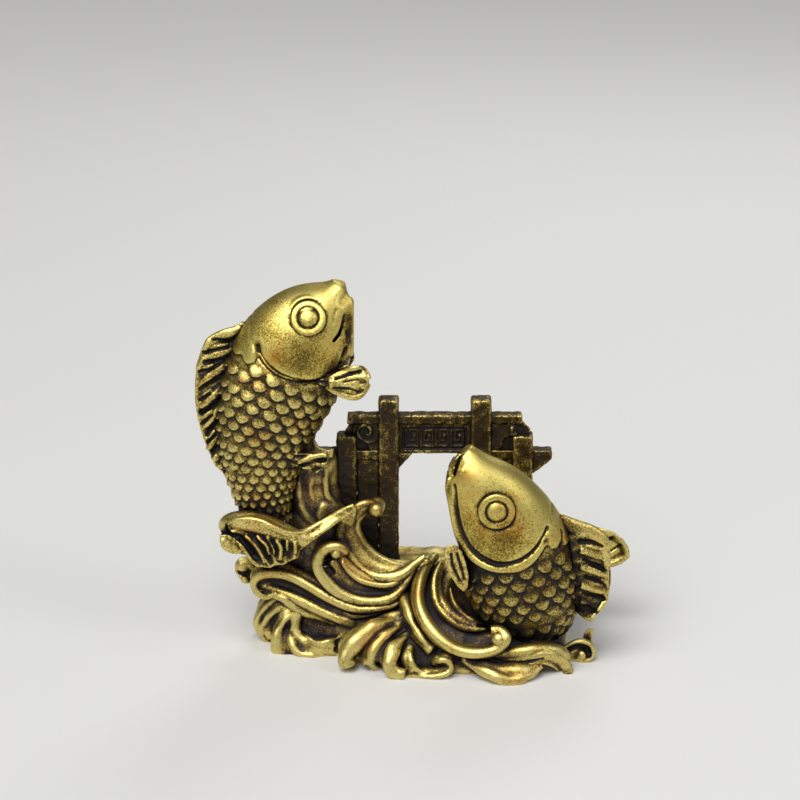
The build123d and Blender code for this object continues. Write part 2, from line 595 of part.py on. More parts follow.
def gate():
    """The gate's members by name. The beams run through the posts, which are cut to take them."""
    inner = {"left": GATE_X - INNER_SPAN / 2, "right": GATE_X + INNER_SPAN / 2}
    outer = {"left": GATE_X - OUTER_SPAN / 2, "right": GATE_X + OUTER_SPAN / 2}
    members = {}
    beam_low = BEAM_TOP - BEAM_HEIGHT
    side_low = SIDE_BEAM_TOP - SIDE_BEAM_HEIGHT
    beam = gate_block(GATE_X - BEAM_LENGTH / 2, GATE_X + BEAM_LENGTH / 2, beam_low, BEAM_TOP, BEAM_DEPTH)
    members["gate_top_beam"] = fillet(beam.edges().filter_by(Axis.X), BEAM_HEIGHT / 4)
    for name, way in (("left", -1), ("right", 1)):
        foot = outer[name] + way * POST_WIDTH / 2
        low, high = sorted((foot + way * CORBEL_LENGTH, inner[name] + way * POST_WIDTH / 2))
        rail = gate_block(low, high, side_low, SIDE_BEAM_TOP, BEAM_DEPTH)
        corbel = wedge(foot, CORBEL_LENGTH, side_low, CORBEL_HEIGHT - SIDE_BEAM_HEIGHT, BEAM_DEPTH, way)
        members[f"gate_{name}_side_beam"] = rail + corbel
    beams = boxed(members.values())
    for name in ("left", "right"):
        members[f"gate_{name}_inner_post"] = seat(post(inner[name], INNER_POST_TOP), beams)
        members[f"gate_{name}_outer_post"] = seat(post(outer[name], OUTER_POST_TOP), beams)
    left, right = inner["left"] + POST_WIDTH / 2, inner["right"] - POST_WIDTH / 2
    board = gate_block(left, right, beam_low - PLAQUE_HEIGHT, beam_low, PLAQUE_DEPTH)
    for face in (-1, 1):
        board -= gate_block(
            left + PLAQUE_RIM,
            right - PLAQUE_RIM,
            beam_low - PLAQUE_HEIGHT + PLAQUE_RIM,
            beam_low - PLAQUE_RIM,
            2 * PLAQUE_RECESS,
            GATE_Y + face * PLAQUE_DEPTH / 2,
        )
    members["gate_plaque"] = board
    for name, way in (("left", -1), ("right", 1)):
        near, far = inner[name] + way * POST_WIDTH / 2, outer[name] - way * POST_WIDTH / 2
        low, high = sorted((near, far))
        members[f"gate_{name}_cloud_bracket"] = cloud(near, way)
        panel = gate_block(low, high, MOUND_HEIGHT - POST_TENON, side_low, PANEL_DEPTH)
        members[f"gate_{name}_side_panel"] = panel
        members[f"gate_{name}_spandrel"] = wedge(
            inner[name] - way * POST_WIDTH / 2,
            SPANDREL_REACH,
            beam_low - PLAQUE_HEIGHT,
            SPANDREL_HEIGHT,
            BRACKET_DEPTH,
            -way,
        )
    return members


def crests():
    """The waves that stand free of the mound, by name. Each is a list of ridges that join."""
    return {
        "gate_crest": [ridge(CREST_GIRTH, GATE_CREST_SHARES, BEAD_GIRTH)],
        "hook_crest": [
            ridge(RIM_GIRTH, HOOK_OUTER_SHARES, BEAD_GIRTH),
            ridge(RIM_GIRTH, HOOK_INNER_SHARES),
            water_sheet(SHEET_THICKNESS, HOOK_SHEET_SHARES),
        ],
        "ribbon_crest": [ridge(RIM_GIRTH, RIBBON_SHARES)],
        "bowl_rim": [ridge(RIM_GIRTH, BOWL_RIM_SHARES, BEAD_GIRTH)],
        "bowl_fold": [ridge(RIM_GIRTH, BOWL_FOLD_SHARES)],
        "tongue_wave": [ridge(SKIRT_GIRTH, TONGUE_SHARES)],
        "right_curl": [ridge(SKIRT_GIRTH, RIGHT_CURL_SHARES)],
        "left_curl": [ridge(SKIRT_GIRTH, LEFT_CURL_SHARES)],
        "back_left_crest": [ridge(CREST_GIRTH, BACK_LEFT_CREST_SHARES, BEAD_GIRTH)],
        "back_right_crest": [ridge(CREST_GIRTH, BACK_RIGHT_CREST_SHARES, BEAD_GIRTH)],
    }


def main():
    left = Carp(
        on_base(LEFT_ROOT_SHARES),
        LEFT_RISE,
        LEFT_HEIGHT,
        LEFT_THICKNESS,
        LEFT_ROUTE_SHARES,
        LEFT_HEIGHT_SHARES,
        LEFT_THICKNESS_SHARES,
        Vector(-1, 0, 0),
        1,
    )
    right = Carp(
        on_base(RIGHT_ROOT_SHARES),
        RIGHT_RISE,
        RIGHT_HEIGHT,
        RIGHT_THICKNESS,
        RIGHT_ROUTE_SHARES,
        RIGHT_HEIGHT_SHARES,
        RIGHT_THICKNESS_SHARES,
        Vector(1, 0, 0),
        -1,
    )
    pieces = {}
    forms = []

    def keep(name, shape, *shapes):
        """Keeps a piece, seated on all the forms so far. Its own form then carries later pieces."""
        pieces[name] = seat(shape, forms)
        forms.extend(boxed(shapes or [shape]))

    pieces.update(carp_pieces("left", left, LEFT_GILL, LEFT_GILL_SHARES, LEFT_EYE_SHARES, LIP_SHARE))
    pieces.update(carp_pieces("right", right, RIGHT_GILL, RIGHT_GILL_SHARES, RIGHT_EYE_SHARES, LIP_SHARE))
    forms.extend(boxed([left.form(), pieces["left_carp_head"], right.form(), pieces["right_carp_head"]]))
    for name, member in gate().items():
        keep(name, member)
    keep("left_carp_dorsal_fin", fin(left.rays(LEFT_DORSAL_SHARES, DORSAL_REACH), VIEWER))
    keep("left_carp_front_pectoral", fin(left.rays(LEFT_PECTORAL_SHARES, PECTORAL_REACH), VIEWER))
    keep("left_carp_back_pectoral", fin(left.rays(LEFT_FAR_PECTORAL_SHARES, PECTORAL_REACH, -1), VIEWER))
    keep("left_carp_anal_fin", fin(left.rays(LEFT_ANAL_SHARES, ANAL_REACH), VIEWER))
    keep("left_carp_tail_fin", left_tail())
    keep("right_carp_dorsal_fin", fin(right.rays(RIGHT_DORSAL_SHARES, DORSAL_REACH), VIEWER))
    keep("right_carp_front_pectoral", fin(right.rays(RIGHT_PECTORAL_SHARES, PECTORAL_REACH), VIEWER))
    keep("right_carp_back_pectoral", fin(right.rays(RIGHT_PECTORAL_SHARES, PECTORAL_REACH, -1), VIEWER))
    keep("right_carp_tail_fin", right_tail(right))
    skirt = [above_table(ridge(SKIRT_GIRTH, shares)) for shares in SKIRT_SHARES]
    hill = mound()
    keep("wave_base", hill.fuse(*skirt), hill, *skirt)
    keep("splash_column", splash())
    for name, ridges in crests().items():
        shape = above_table(ridges[0])
        for other in ridges[1:]:
            shape = shape + above_table(other)
        keep(name, shape, *ridges)
    for name, piece in pieces.items():
        export_step(piece, f"parts/{name}.step")
        print(name, round(piece.volume, 2))


os.makedirs("parts", exist_ok=True)
main()
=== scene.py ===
import math

import bpy
import numpy as np
from mathutils import Matrix, Vector, noise
from mathutils.bvhtree import BVHTree


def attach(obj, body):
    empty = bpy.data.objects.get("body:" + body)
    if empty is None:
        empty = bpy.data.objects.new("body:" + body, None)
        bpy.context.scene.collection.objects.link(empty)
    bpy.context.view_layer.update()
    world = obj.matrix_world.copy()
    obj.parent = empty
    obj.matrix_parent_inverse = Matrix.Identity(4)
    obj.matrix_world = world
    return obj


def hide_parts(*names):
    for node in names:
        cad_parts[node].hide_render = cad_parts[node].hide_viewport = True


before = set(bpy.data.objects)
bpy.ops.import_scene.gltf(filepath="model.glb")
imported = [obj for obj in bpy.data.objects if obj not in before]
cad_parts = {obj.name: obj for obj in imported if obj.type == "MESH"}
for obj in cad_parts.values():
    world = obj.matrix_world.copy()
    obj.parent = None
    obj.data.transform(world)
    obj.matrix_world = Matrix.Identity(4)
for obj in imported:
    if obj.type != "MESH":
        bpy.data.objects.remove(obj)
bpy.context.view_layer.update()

# Sizes and places are in millimetres, and Blender's unit is the metre.
MM = 0.001


# Helpers for modelling

MERGED_GAP = 0.002


def linked(name, data):
    """A new object in the scene."""
    made = bpy.data.objects.new(name, data)
    bpy.context.scene.collection.objects.link(made)
    return made


def select(*pieces):
    """Selects these pieces alone, the first of them active."""
    bpy.ops.object.select_all(action="DESELECT")
    for piece in pieces:
        piece.select_set(True)
    bpy.context.view_layer.objects.active = pieces[0]


def edit_all(piece, operator, **settings):
    """Runs an operator of edit mode on a whole piece."""
    select(piece)
    bpy.ops.object.mode_set(mode="EDIT")
    bpy.ops.mesh.select_all(action="SELECT")
    operator(**settings)
    bpy.ops.object.mode_set(mode="OBJECT")


def joined(name, *pieces):
    """Several meshes made one piece."""
    select(*pieces)
    if len(pieces) > 1:
        bpy.ops.object.join()
    piece = bpy.context.active_object
    piece.name = name
    piece.data.name = name
    return piece


def from_faces(name, points, faces):
    """A closed piece made from its points and faces, with its skin facing out."""
    mesh = bpy.data.meshes.new(name)
    mesh.from_pydata([tuple(point) for point in points], [], faces)
    made = linked(name, mesh)
    edit_all(made, bpy.ops.mesh.normals_make_consistent, inside=False)
    return made


def from_solid(name, node_name):
    """A piece that starts as a copy of a CAD solid, with its doubled points merged."""
    piece = joined(name, linked(name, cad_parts[node_name].data.copy()))
    edit_all(piece, bpy.ops.mesh.remove_doubles, threshold=MERGED_GAP * MM)
    return piece


def sphere(radius, place, segments, rings):
    """A sphere with its place, in metres, kept in its mesh."""
    bpy.ops.object.select_all(action="DESELECT")
    bpy.ops.mesh.primitive_uv_sphere_add(
        segments=segments, ring_count=rings, radius=radius * MM, location=place
    )
    bpy.ops.object.transform_apply(location=True, rotation=False, scale=False)
    return bpy.context.active_object


def modify(piece, kind, **settings):
    """Adds one modifier with its settings and applies it."""
    select(piece)
    modifier = piece.modifiers.new(kind.title(), kind)
    for key, value in settings.items():
        setattr(modifier, key, value)
    bpy.ops.object.modifier_apply(modifier=modifier.name)


def cast(piece, grain, rounds):
    """Runs a piece's overlapping parts into one skin, as one casting, then rounds its edges.
    grain is the size of the skin's faces."""
    modify(piece, "REMESH", mode="VOXEL", voxel_size=grain * MM, use_smooth_shade=True)
    if rounds:
        modify(piece, "SMOOTH", factor=0.5, iterations=rounds)


def rows_of(items, name, width, kind=np.float32):
    """One property of all of a mesh's points or edges."""
    values = np.empty(len(items) * width, kind)
    items.foreach_get(name, values)
    return values.reshape(-1, width)


def points_of(piece):
    return rows_of(piece.data.vertices, "co", 3)


def normals_of(piece):
    return rows_of(piece.data.vertices, "normal", 3)


def edges_of(piece):
    return rows_of(piece.data.edges, "vertices", 2, np.int32)


def move_points(piece, places):
    piece.data.vertices.foreach_set("co", places.astype(np.float32).ravel())
    piece.data.update()


def tree_of(*pieces):
    """One search tree round the faces of these pieces."""
    places, faces = [], []
    for piece in pieces:
        first = len(places)
        places.extend(points_of(piece).tolist())
        faces.extend([first + i for i in face.vertices] for face in piece.data.polygons)
    return BVHTree.FromPolygons(places, faces)


def placed(place, x_way, y_way, z_way, sizes):
    """The matrix that sets a shape of unit size at a place, turned to three directions."""
    turn = Matrix((x_way, y_way, z_way)).transposed().to_4x4()
    return Matrix.Translation(place) @ turn @ Matrix.Diagonal((*sizes, 1))


# The camera looks down by 18 degrees from 300 mm, and sees 107 mm across at the figurine.
CAMERA_RISE = math.radians(18)
CAMERA_AWAY = 300
VIEW_WIDTH = 107
PHOTO_WIDTH = 800
AHEAD = Vector((0, math.cos(CAMERA_RISE), -math.sin(CAMERA_RISE)))
UP = Vector((0, math.sin(CAMERA_RISE), math.cos(CAMERA_RISE)))
AIM = Vector((-3.6, 0, 35.75))
CAMERA_PLACE = AIM - AHEAD * CAMERA_AWAY


def sight(x, y):
    """The way from the camera through a pixel of the 800 pixel photograph."""
    right = (x - PHOTO_WIDTH / 2) / PHOTO_WIDTH * VIEW_WIDTH
    down = (y - PHOTO_WIDTH / 2) / PHOTO_WIDTH * VIEW_WIDTH
    return (AHEAD * CAMERA_AWAY + Vector((right, 0, 0)) - UP * down).normalized()


def pixels_of(places):
    """Where places in metres are seen on the photograph."""
    rows = np.array(places) / MM - np.array(CAMERA_PLACE)
    zoom = CAMERA_AWAY / VIEW_WIDTH * PHOTO_WIDTH / (rows @ np.array(AHEAD))
    return np.stack(
        [PHOTO_WIDTH / 2 + rows[:, 0] * zoom, PHOTO_WIDTH / 2 - (rows @ np.array(UP)) * zoom], axis=1
    )


def nearness(spots, spot, radius, power=2):
    """How near spots of the photograph are to one of them: 1 on it, fading over a radius in pixels."""
    away = np.linalg.norm(spots - np.array(spot), axis=1)
    return np.exp(-(away / radius) ** power)


def curve_through(points, spans=6):
    """A smooth line of places through points, with this many steps between two of them."""
    rows = np.array(points, float)
    rows = np.vstack([2 * rows[0] - rows[1], rows, 2 * rows[-1] - rows[-2]])
    line = []
    for a, b, c, d in zip(rows, rows[1:], rows[2:], rows[3:]):
        for t in np.arange(spans) / spans:
            bend = (2 * a - 5 * b + 4 * c - d) * t ** 2 + (3 * b - a - 3 * c + d) * t ** 3
            line.append(0.5 * (2 * b + (c - a) * t + bend))
    line.append(rows[-2])
    return np.array(line)


def nearest_depth(tree, way):
    """How far along a sight line from the camera the metal comes nearest to it."""
    start = CAMERA_PLACE * MM
    depth = CAMERA_AWAY * MM
    for _ in range(6):
        depth = (tree.find_nearest(start + way * depth)[0] - start).dot(way)
    return depth


# Where the metal lies this far before or behind a drawn line's middle depth, it isn't what was drawn on.
DEPTH_STEP = 7
EVENING_ROUNDS = 8
# How far a ridge leans from the skin's own facing towards the camera
CAMERA_LEAN = 0.8


def evened(rows):
    """Rows with each but the ends drawn halfway to its neighbours' middle."""
    rows[1:-1] = 0.5 * rows[1:-1] + 0.25 * (rows[:-2] + rows[2:])
    return rows


def on_front(pixels, tree):
    """Places on the front of the metal beneath a line drawn over the photograph, and the ways that
    the skin faces there. Where the line runs off the metal its depth is carried over."""
    line = curve_through(pixels)
    sights = [sight(x, y) for x, y in line]
    start = CAMERA_PLACE * MM
    depths, ways = np.full(len(line), np.nan), np.zeros((len(line), 3))
    for i, to in enumerate(sights):
        place, way, _, depth = tree.ray_cast(start, to)
        if place is not None:
            depths[i] = depth
            ways[i] = way
    if np.isnan(depths).all():
        depths = np.array([nearest_depth(tree, to) for to in sights])
    known = ~np.isnan(depths)
    known &= np.abs(depths - np.median(depths[known])) < DEPTH_STEP * MM
    steps = np.arange(len(line))
    depths = np.interp(steps, steps[known], depths[known])
    ways = np.stack([np.interp(steps, steps[known], ways[known, k]) for k in range(3)], axis=1)
    # The solids' ridges are round, so depth and facing are evened out along the line.
    for _ in range(EVENING_ROUNDS):
        depths, ways = evened(depths), evened(ways)
    sights = np.array(sights)
    ways = ways - CAMERA_LEAN * sights
    return np.array(start) + sights * depths[:, None], ways / np.linalg.norm(ways, axis=1)[:, None]


def on_plane(pixels, plane):
    """Places where the sight lines through pixels cross a plane, given as (place, normal)."""
    middle, normal = Vector(plane[0]), Vector(plane[1])
    places = []
    for x, y in pixels:
        way = sight(x, y)
        depth = (middle - CAMERA_PLACE).dot(normal) / way.dot(normal)
        places.append((CAMERA_PLACE + way * depth) * MM)
    return np.array(places)


def flank(places, plane):
    """Places mirrored to the other side of a plane."""
    middle, normal = np.array(plane[0]) * MM, np.array(plane[1])
    return places - 2 * ((places - middle) @ normal)[:, None] * normal


BAR_SIDES = 12
ROUND = [
    (math.cos(turn * 2 * math.pi / BAR_SIDES), math.sin(turn * 2 * math.pi / BAR_SIDES))
    for turn in range(BAR_SIDES)
]


def swept(places, ways, half_widths, heights):
    """A closed round bar along a line, all in metres."""
    count = len(places)
    across = np.cross(ways, np.gradient(places, axis=0))
    across /= np.linalg.norm(across, axis=1)[:, None] + 1e-12
    points = []
    for i in range(count):
        for u, v in ROUND:
            points.append(places[i] + across[i] * (u * half_widths[i]) + ways[i] * (v * heights[i]))
    faces = [tuple(range(BAR_SIDES)), tuple(range((count - 1) * BAR_SIDES, count * BAR_SIDES))]
    for first in range(0, (count - 1) * BAR_SIDES, BAR_SIDES):
        for j in range(BAR_SIDES):
            k = (j + 1) % BAR_SIDES
            faces.append((first + j, first + k, first + BAR_SIDES + k, first + BAR_SIDES + j))
    return from_faces("bar", points, faces)


def tapered(places, stops, values):
    """Shares along a line, which reach these values at these stops between 0 and 1."""
    return np.interp(np.linspace(0, 1, len(places)), stops, values)


def ridge(line, tree, width, height, start, end):
    """A ridge drawn over the photograph, tapered to these shares at its ends."""
    places, ways = on_front(line, tree)
    shares = tapered(places, [0, 0.35, 0.75, 1], [start, 1, 0.9, end])
    return swept(places, ways, shares * width / 2 * MM, shares * height * MM)


SHEET_THICKNESS = 1.4
SHEET_ROWS = 9


def sheet(first, second, tree, sag):
    """A hollowed sheet of water between two lines drawn over the photograph."""
    sides = [on_front(line, tree) for line in (first, second)]
    count = min(len(places) for places, _ in sides)
    picks = [np.linspace(0, len(places) - 1, count).round().astype(int) for places, _ in sides]
    top, under = [], []
    for one, other in zip(*picks):
        for t in np.linspace(0, 1, SHEET_ROWS):
            way = sides[0][1][one] * (1 - t) + sides[1][1][other] * t
            way /= np.linalg.norm(way)
            place = sides[0][0][one] * (1 - t) + sides[1][0][other] * t
            top.append(place - way * (sag * 4 * t * (1 - t) * MM))
            under.append(top[-1] - way * SHEET_THICKNESS * MM)
    wide, total = SHEET_ROWS, len(top)
    faces = []
    for i in range(count - 1):
        for j in range(wide - 1):
            a, b = i * wide + j, (i + 1) * wide + j
            faces.append((a, a + 1, b + 1, b))
            faces.append((total + a, total + a + 1, total + b + 1, total + b))
    last = (count - 1) * wide
    border = (
        [i * wide for i in range(count)] + list(range(last + 1, last + wide))
        + [i * wide + wide - 1 for i in range(count - 2, -1, -1)] + list(range(wide - 2, 0, -1))
    )
    for a, b in zip(border, border[1:] + border[:1]):
        faces.append((a, b, total + b, total + a))
    return from_faces("sheet", top + under, faces)


def ball(spot, tree, radius, sink):
    """A ball set on the metal at a spot of the photograph, sunk by a share of its radius."""
    start, way = CAMERA_PLACE * MM, sight(*spot)
    depth = tree.ray_cast(start, way)[3] or nearest_depth(tree, way)
    return sphere(radius, start + way * (depth + sink * radius * MM), 24, 12)


def prism(pixels, front, back):
    """A solid between two upright planes, its sides running along the sight lines."""
    count = len(pixels)
    points = np.vstack([on_plane(pixels, ((0, y, 0), (0, 1, 0))) for y in (front, back)])
    faces = [tuple(range(count)), tuple(range(count, 2 * count))]
    for i in range(count):
        k = (i + 1) % count
        faces.append((i, k, count + k, count + i))
    return from_faces("prism", points, faces)


def subtract(piece, cutter):
    """Cuts one piece's shape out of another."""
    modify(piece, "BOOLEAN", object=cutter, operation="DIFFERENCE", solver="EXACT")
    bpy.data.objects.remove(cutter)


CUT_OVERRUN = 2


def cut_away(piece, pixels, front, back):
    """Cuts what lies within an outline of the photograph off a piece."""
    subtract(piece, prism(pixels, front, back))


def gaps_to(spots, corners):
    """How far spots lie from a line through corners."""
    nearest = np.full(len(spots), np.inf)
    for a, b in zip(corners[:-1], corners[1:]):
        run = b - a
        share = np.clip(((spots - a) @ run) / max(run @ run, 1e-18), 0, 1)
        nearest = np.minimum(nearest, np.linalg.norm(spots - (a + share[:, None] * run), axis=1))
    return nearest


def groove(piece, places, width, depth):
    """Presses a rounded groove into a piece along a line of places in metres."""
    points, ways = points_of(piece).astype(float), normals_of(piece)
    push = depth * MM * np.exp(-(gaps_to(points, places) / (width / 2 * MM)) ** 2)
    move_points(piece, points - ways * push[:, None])


def share_within(places, outline, plane, feather=8):
    """How far places lie within an outline of the photograph, from 0 to 1 over a soft edge of so many
    pixels. The far flank counts as the near one."""
    places = np.array(places, float)
    side = (places - np.array(plane[0]) * MM) @ np.array(plane[1])
    near = (np.array(CAMERA_PLACE - Vector(plane[0]))) @ np.array(plane[1])
    far = side * near < 0
    places[far] = flank(places[far], plane)
    spots = pixels_of(places)
    corners = np.array([*outline, outline[0]], float)
    inside = np.zeros(len(spots), bool)
    for a, b in zip(corners[:-1], corners[1:]):
        crosses = (a[1] > spots[:, 1]) != (b[1] > spots[:, 1])
        # A level side is never crossed.
        at = a[0] + (spots[:, 1] - a[1]) * (b[0] - a[0]) / ((b[1] - a[1]) or 1)
        inside ^= crosses & (spots[:, 0] < at)
    nearest = gaps_to(spots, corners)
    return np.clip(0.5 + np.where(inside, nearest, -nearest) / feather, 0, 1)


EVEN_SHARE = 0.6


def spread(values, edges, rounds):
    """Evens out values along a mesh's edges, as smoothing does."""
    first, second = edges[:, 0], edges[:, 1]
    count = len(values)
    near = np.maximum(np.bincount(first, minlength=count) + np.bincount(second, minlength=count), 1)
    for _ in range(rounds):
        total = np.bincount(first, weights=values[second], minlength=count)
        total += np.bincount(second, weights=values[first], minlength=count)
        values = (1 - EVEN_SHARE) * values + EVEN_SHARE * total / near
    return values


def weathered(piece, amount, size):
    """Makes a skin uneven, as cast from a worn mould: amount and size of its bumps."""
    points, ways = points_of(piece).astype(float), normals_of(piece)
    bumps = np.array([noise.noise(Vector(point) / (size * MM)) for point in points])
    move_points(piece, points + ways * (bumps * amount * MM)[:, None])


# Materials

def linear(code):
    """A colour written as sRGB hex, as the linear values that Blender takes."""
    parts = [int(code[i:i + 2], 16) / 255 for i in (1, 3, 5)]
    return [c / 12.92 if c <= 0.04045 else ((c + 0.055) / 1.055) ** 2.4 for c in parts] + [1.0]


def node(tree, kind, sockets, **settings):
    """Adds a node. Each socket named takes a value, or a link from another node's output."""
    made = tree.nodes.new(kind)
    for key, value in settings.items():
        setattr(made, key, value)
    for name, source in sockets.items():
        if isinstance(source, bpy.types.NodeSocket):
            tree.links.new(source, made.inputs[name])
        else:
            made.inputs[name].default_value = source
    return made


def reckoned(tree, operation, *values, clamp=False):
    """The outcome of one sum on values or outputs."""
    sockets = dict(enumerate(values))
    return node(tree, "ShaderNodeMath", sockets, operation=operation, use_clamp=clamp).outputs[0]


def ranged(tree, source, low, high, to_low, to_high):
    """A value carried from one range to another, and held at its ends."""
    return node(tree, "ShaderNodeMapRange", {
        "Value": source, "From Min": low, "From Max": high, "To Min": to_low, "To Max": to_high,
    }).outputs[0]


def ramp(tree, source, stops):
    """A colour ramp fed by a value: stops are (place, sRGB hex)."""
    made = node(tree, "ShaderNodeValToRGB", {"Fac": source})
    band = made.color_ramp
    while len(band.elements) < len(stops):
        band.elements.new(0.5)
    for element, (place, code) in zip(band.elements, stops):
        element.position = place
        element.color = linear(code)
    return made.outputs["Color"]


# How worn a spot must be for the patina to thin, and to be gone, and what that does to its finish
WORN_RANGE = (0.25, 0.6)
ROUGHNESS_RANGE = (0.6, 0.43)
METALLIC_RANGE = (0.35, 1.0)
PATCH_SHARE = 0.6
SPECKLE_SHARE = 1.5
TONE_PLACES = (0.12, 0.34, 0.52, 0.7, 0.92)
COPPER_TINT = "#e8a45e"
CLOUD_RANGE = (0.56, 0.75)
CLOUD_SHARE = 0.6
FRECKLE_RANGE = (0.35, 0.65)
GRAIN_HEIGHT = 0.12
# How many fit in a metre: patches of patina 3 mm wide, speckles of 0.25 mm, clouds of copper 5 mm wide
PATCHES = {"Scale": 330, "Detail": 4, "Roughness": 0.6}
SPECKLES = {"Scale": 4200, "Detail": 3, "Roughness": 0.7}
CLOUDS = {"Scale": 190, "Detail": 3}


def brass(name, tones, wear):
    """Cast brass under a purple-brown patina that was rubbed off its high spots: dark in every hollow, gold
    on the ridges, speckled brown between, with coppery patches. The height it reads also holds painted shade
    where other metal shuts out the sky, and painted shade and painted highlight at listed spots."""
    material = bpy.data.materials.new(name)
    material.use_nodes = True
    tree = material.node_tree
    shader = tree.nodes["Principled BSDF"]
    place = node(tree, "ShaderNodeTexCoord", {}).outputs["Object"]
    height, copper_spots = [
        node(tree, "ShaderNodeAttribute", {}, attribute_name=layer).outputs["Fac"]
        for layer in ("height", "copper")
    ]
    patches, speckle, clouds = [
        node(tree, "ShaderNodeTexNoise", {"Vector": place, **sizes}).outputs["Fac"]
        for sizes in (PATCHES, SPECKLES, CLOUDS)
    ]
    # How worn a spot is follows from its height, the patches and the speckles; the height also holds painted
    # shade and painted highlight, which darken and lighten the colour in the same way. Worn metal is gold and
    # smoother, and what patina covers is dull and less of a metal.
    patched = reckoned(tree, "MULTIPLY_ADD", patches, PATCH_SHARE, height)
    speckled = reckoned(tree, "MULTIPLY_ADD", speckle, SPECKLE_SHARE, patched)
    wear_and_shade = reckoned(tree, "ADD", speckled, wear - (PATCH_SHARE + SPECKLE_SHARE) / 2, clamp=True)
    colour = ramp(tree, wear_and_shade, list(zip(TONE_PLACES, tones)))
    shader_links = {
        "Roughness": ranged(tree, wear_and_shade, *WORN_RANGE, *ROUGHNESS_RANGE),
        "Metallic": ranged(tree, wear_and_shade, *WORN_RANGE, *METALLIC_RANGE),
    }
    cloudy = ranged(tree, clouds, *CLOUD_RANGE, 0, CLOUD_SHARE)
    freckled = reckoned(tree, "MULTIPLY", copper_spots, ranged(tree, speckle, *FRECKLE_RANGE, 0, 1))
    coppery = reckoned(tree, "ADD", cloudy, freckled, clamp=True)
    tinted = node(
        tree, "ShaderNodeMix", {0: coppery, 6: colour, 7: linear(COPPER_TINT)}, data_type="RGBA",
        blend_type="MULTIPLY",
    )
    shader_links["Base Color"] = tinted.outputs[2]
    grain = node(
        tree, "ShaderNodeBump", {"Height": speckle, "Strength": 0.3, "Distance": GRAIN_HEIGHT * MM}
    )
    shader_links["Normal"] = grain.outputs["Normal"]
    for socket, source in shader_links.items():
        tree.links.new(source, shader.inputs[socket])
    return material


# One metal in six states, one of them a darker copy with painted shade: its shades from the hollows to the
# ridges, and how far its patina was worn.

# Gold scales, each with a dark line round it
carp_brass = brass("carp_antique_brass", ("#0c0705", "#302413", "#6b5a2b", "#a8934a", "#e6d484"), -0.14)
# Painted shade: a darker copy of the carp brass for the right carp's flank, which lies shadowed under its
# head, with gold left on the edges of its scales alone
painted_shade_brass = brass("painted_shade_antique_brass", ("#0a0604", "#241a0d", "#544622", "#94803f", "#d2bf74"), -0.24)
# Heads and eyes, an even warm gold, as fingers rub them most
head_brass = brass("head_antique_brass", ("#150e08", "#443414", "#7c682a", "#b29c48", "#dccb76"), -0.06)
# The gate, a dark brown with gold along its worn edges
gate_brass = brass("gate_antique_brass", ("#120c08", "#2a1f13", "#3f311c", "#6c5b32", "#c2ae66"), -0.21)
# The spout behind the left carp, where the purple-brown patina is thickest
splash_brass = brass("splash_antique_brass", ("#17100f", "#46382d", "#6c5a44", "#98854f", "#d8c77c"), -0.06)
# Waves, bright along their crests over brown folds
wave_brass = brass("wave_antique_brass", ("#150d0b", "#4c3b2a", "#7e6b3a", "#ac984e", "#dccb80"), -0.05)

finished = []


def finish_piece(piece, material, node_name):
    """Gives a piece its metal and lets it stand for its CAD node. Nothing hangs below the table."""
    places = points_of(piece)
    places[:, 2] = np.maximum(places[:, 2], 0)
    move_points(piece, places)
    piece.data.materials.clear()
    piece.data.materials.append(material)
    select(piece)
    bpy.ops.object.shade_smooth()
    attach(piece, "root")
    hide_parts(node_name)
    finished.append(piece)


# Carps

FRONT_AND_BACK = ("front", "back")
# An eye's half section, from its axis outwards: radius and height
EYE_OUTLINE = [
    (0, 0.52), (0.5, 0.48), (1.0, 0.33), (1.28, 0.12), (1.36, -0.1), (1.42, -0.1), (1.5, 0.1), (1.7, 0.18),
    (2.1, 0.16), (2.3, 0.08), (2.42, -0.1), (2.42, -1.2), (0, -1.2),
]
EYE_TURNS = 48
EYE_GRAIN = 0.07
EYE_RING = 2.5
EYE_GROOVE_WIDTH = 0.36
EYE_GROOVE_DEPTH = 0.34
EYE_GROOVE_LIFT = 0.2


def eye_shape():
    """An eye turned on its own axis: a domed pupil, a groove, and a flat ring with rounded edges."""
    points, faces = [], []
    ring = len(EYE_OUTLINE)
    for turn in range(EYE_TURNS):
        angle = turn * 2 * math.pi / EYE_TURNS
        for radius, up in EYE_OUTLINE:
            points.append((radius * math.cos(angle) * MM, radius * math.sin(angle) * MM, up * MM))
        for i in range(ring - 1):
            here, there = turn * ring + i, (turn + 1) % EYE_TURNS * ring + i
            faces.append((here, here + 1, there + 1, there))
    shape = from_faces("eye", points, faces)
    modify(shape, "WELD", merge_threshold=MERGED_GAP * MM)
    return shape


def along(line, way):
    """Place and direction at a distance along a line of points."""
    for start, end in zip(line, line[1:]):
        start, end = Vector(start), Vector(end)
        length = (end - start).length
        if way <= length:
            return start + (end - start) * (way / length), (end - start).normalized()
        way -= length
    return None


def scale_shape():
    """One scale: a flat dome, 1 wide and 1 long, its free edge at +Y lifted off the skin."""
    shape = sphere(0.5 / MM, (0, 0, 0), 14, 7)
    places = points_of(shape)
    places[:, 2] = places[:, 2] * 0.6 + 1.05 * places[:, 1]
    # The hidden end is narrower than the free edge.
    places[:, 0] *= 1 - 0.2 * np.clip(-places[:, 1] * 2, 0, 1)
    move_points(shape, places)
    return shape


FIRST_ROW = 0.6
SCALE_SINK = 0.22
# A scale's length and height, as shares of the distance between rows
SCALE_SHARES = (1.7, 0.75)
OUTSIDE = 20
# Shares of the body's reach from its middle line: where a scale's ray starts, and where it lands at most
RAY_START_SHARE = 2.2
FARTHEST_SHARE = 1.35
# No scale where the skin faces further off than this cosine, or on this share of the nape's soft edge
LEAST_FACING = 0.55
NAPE_SHARE = 0.6


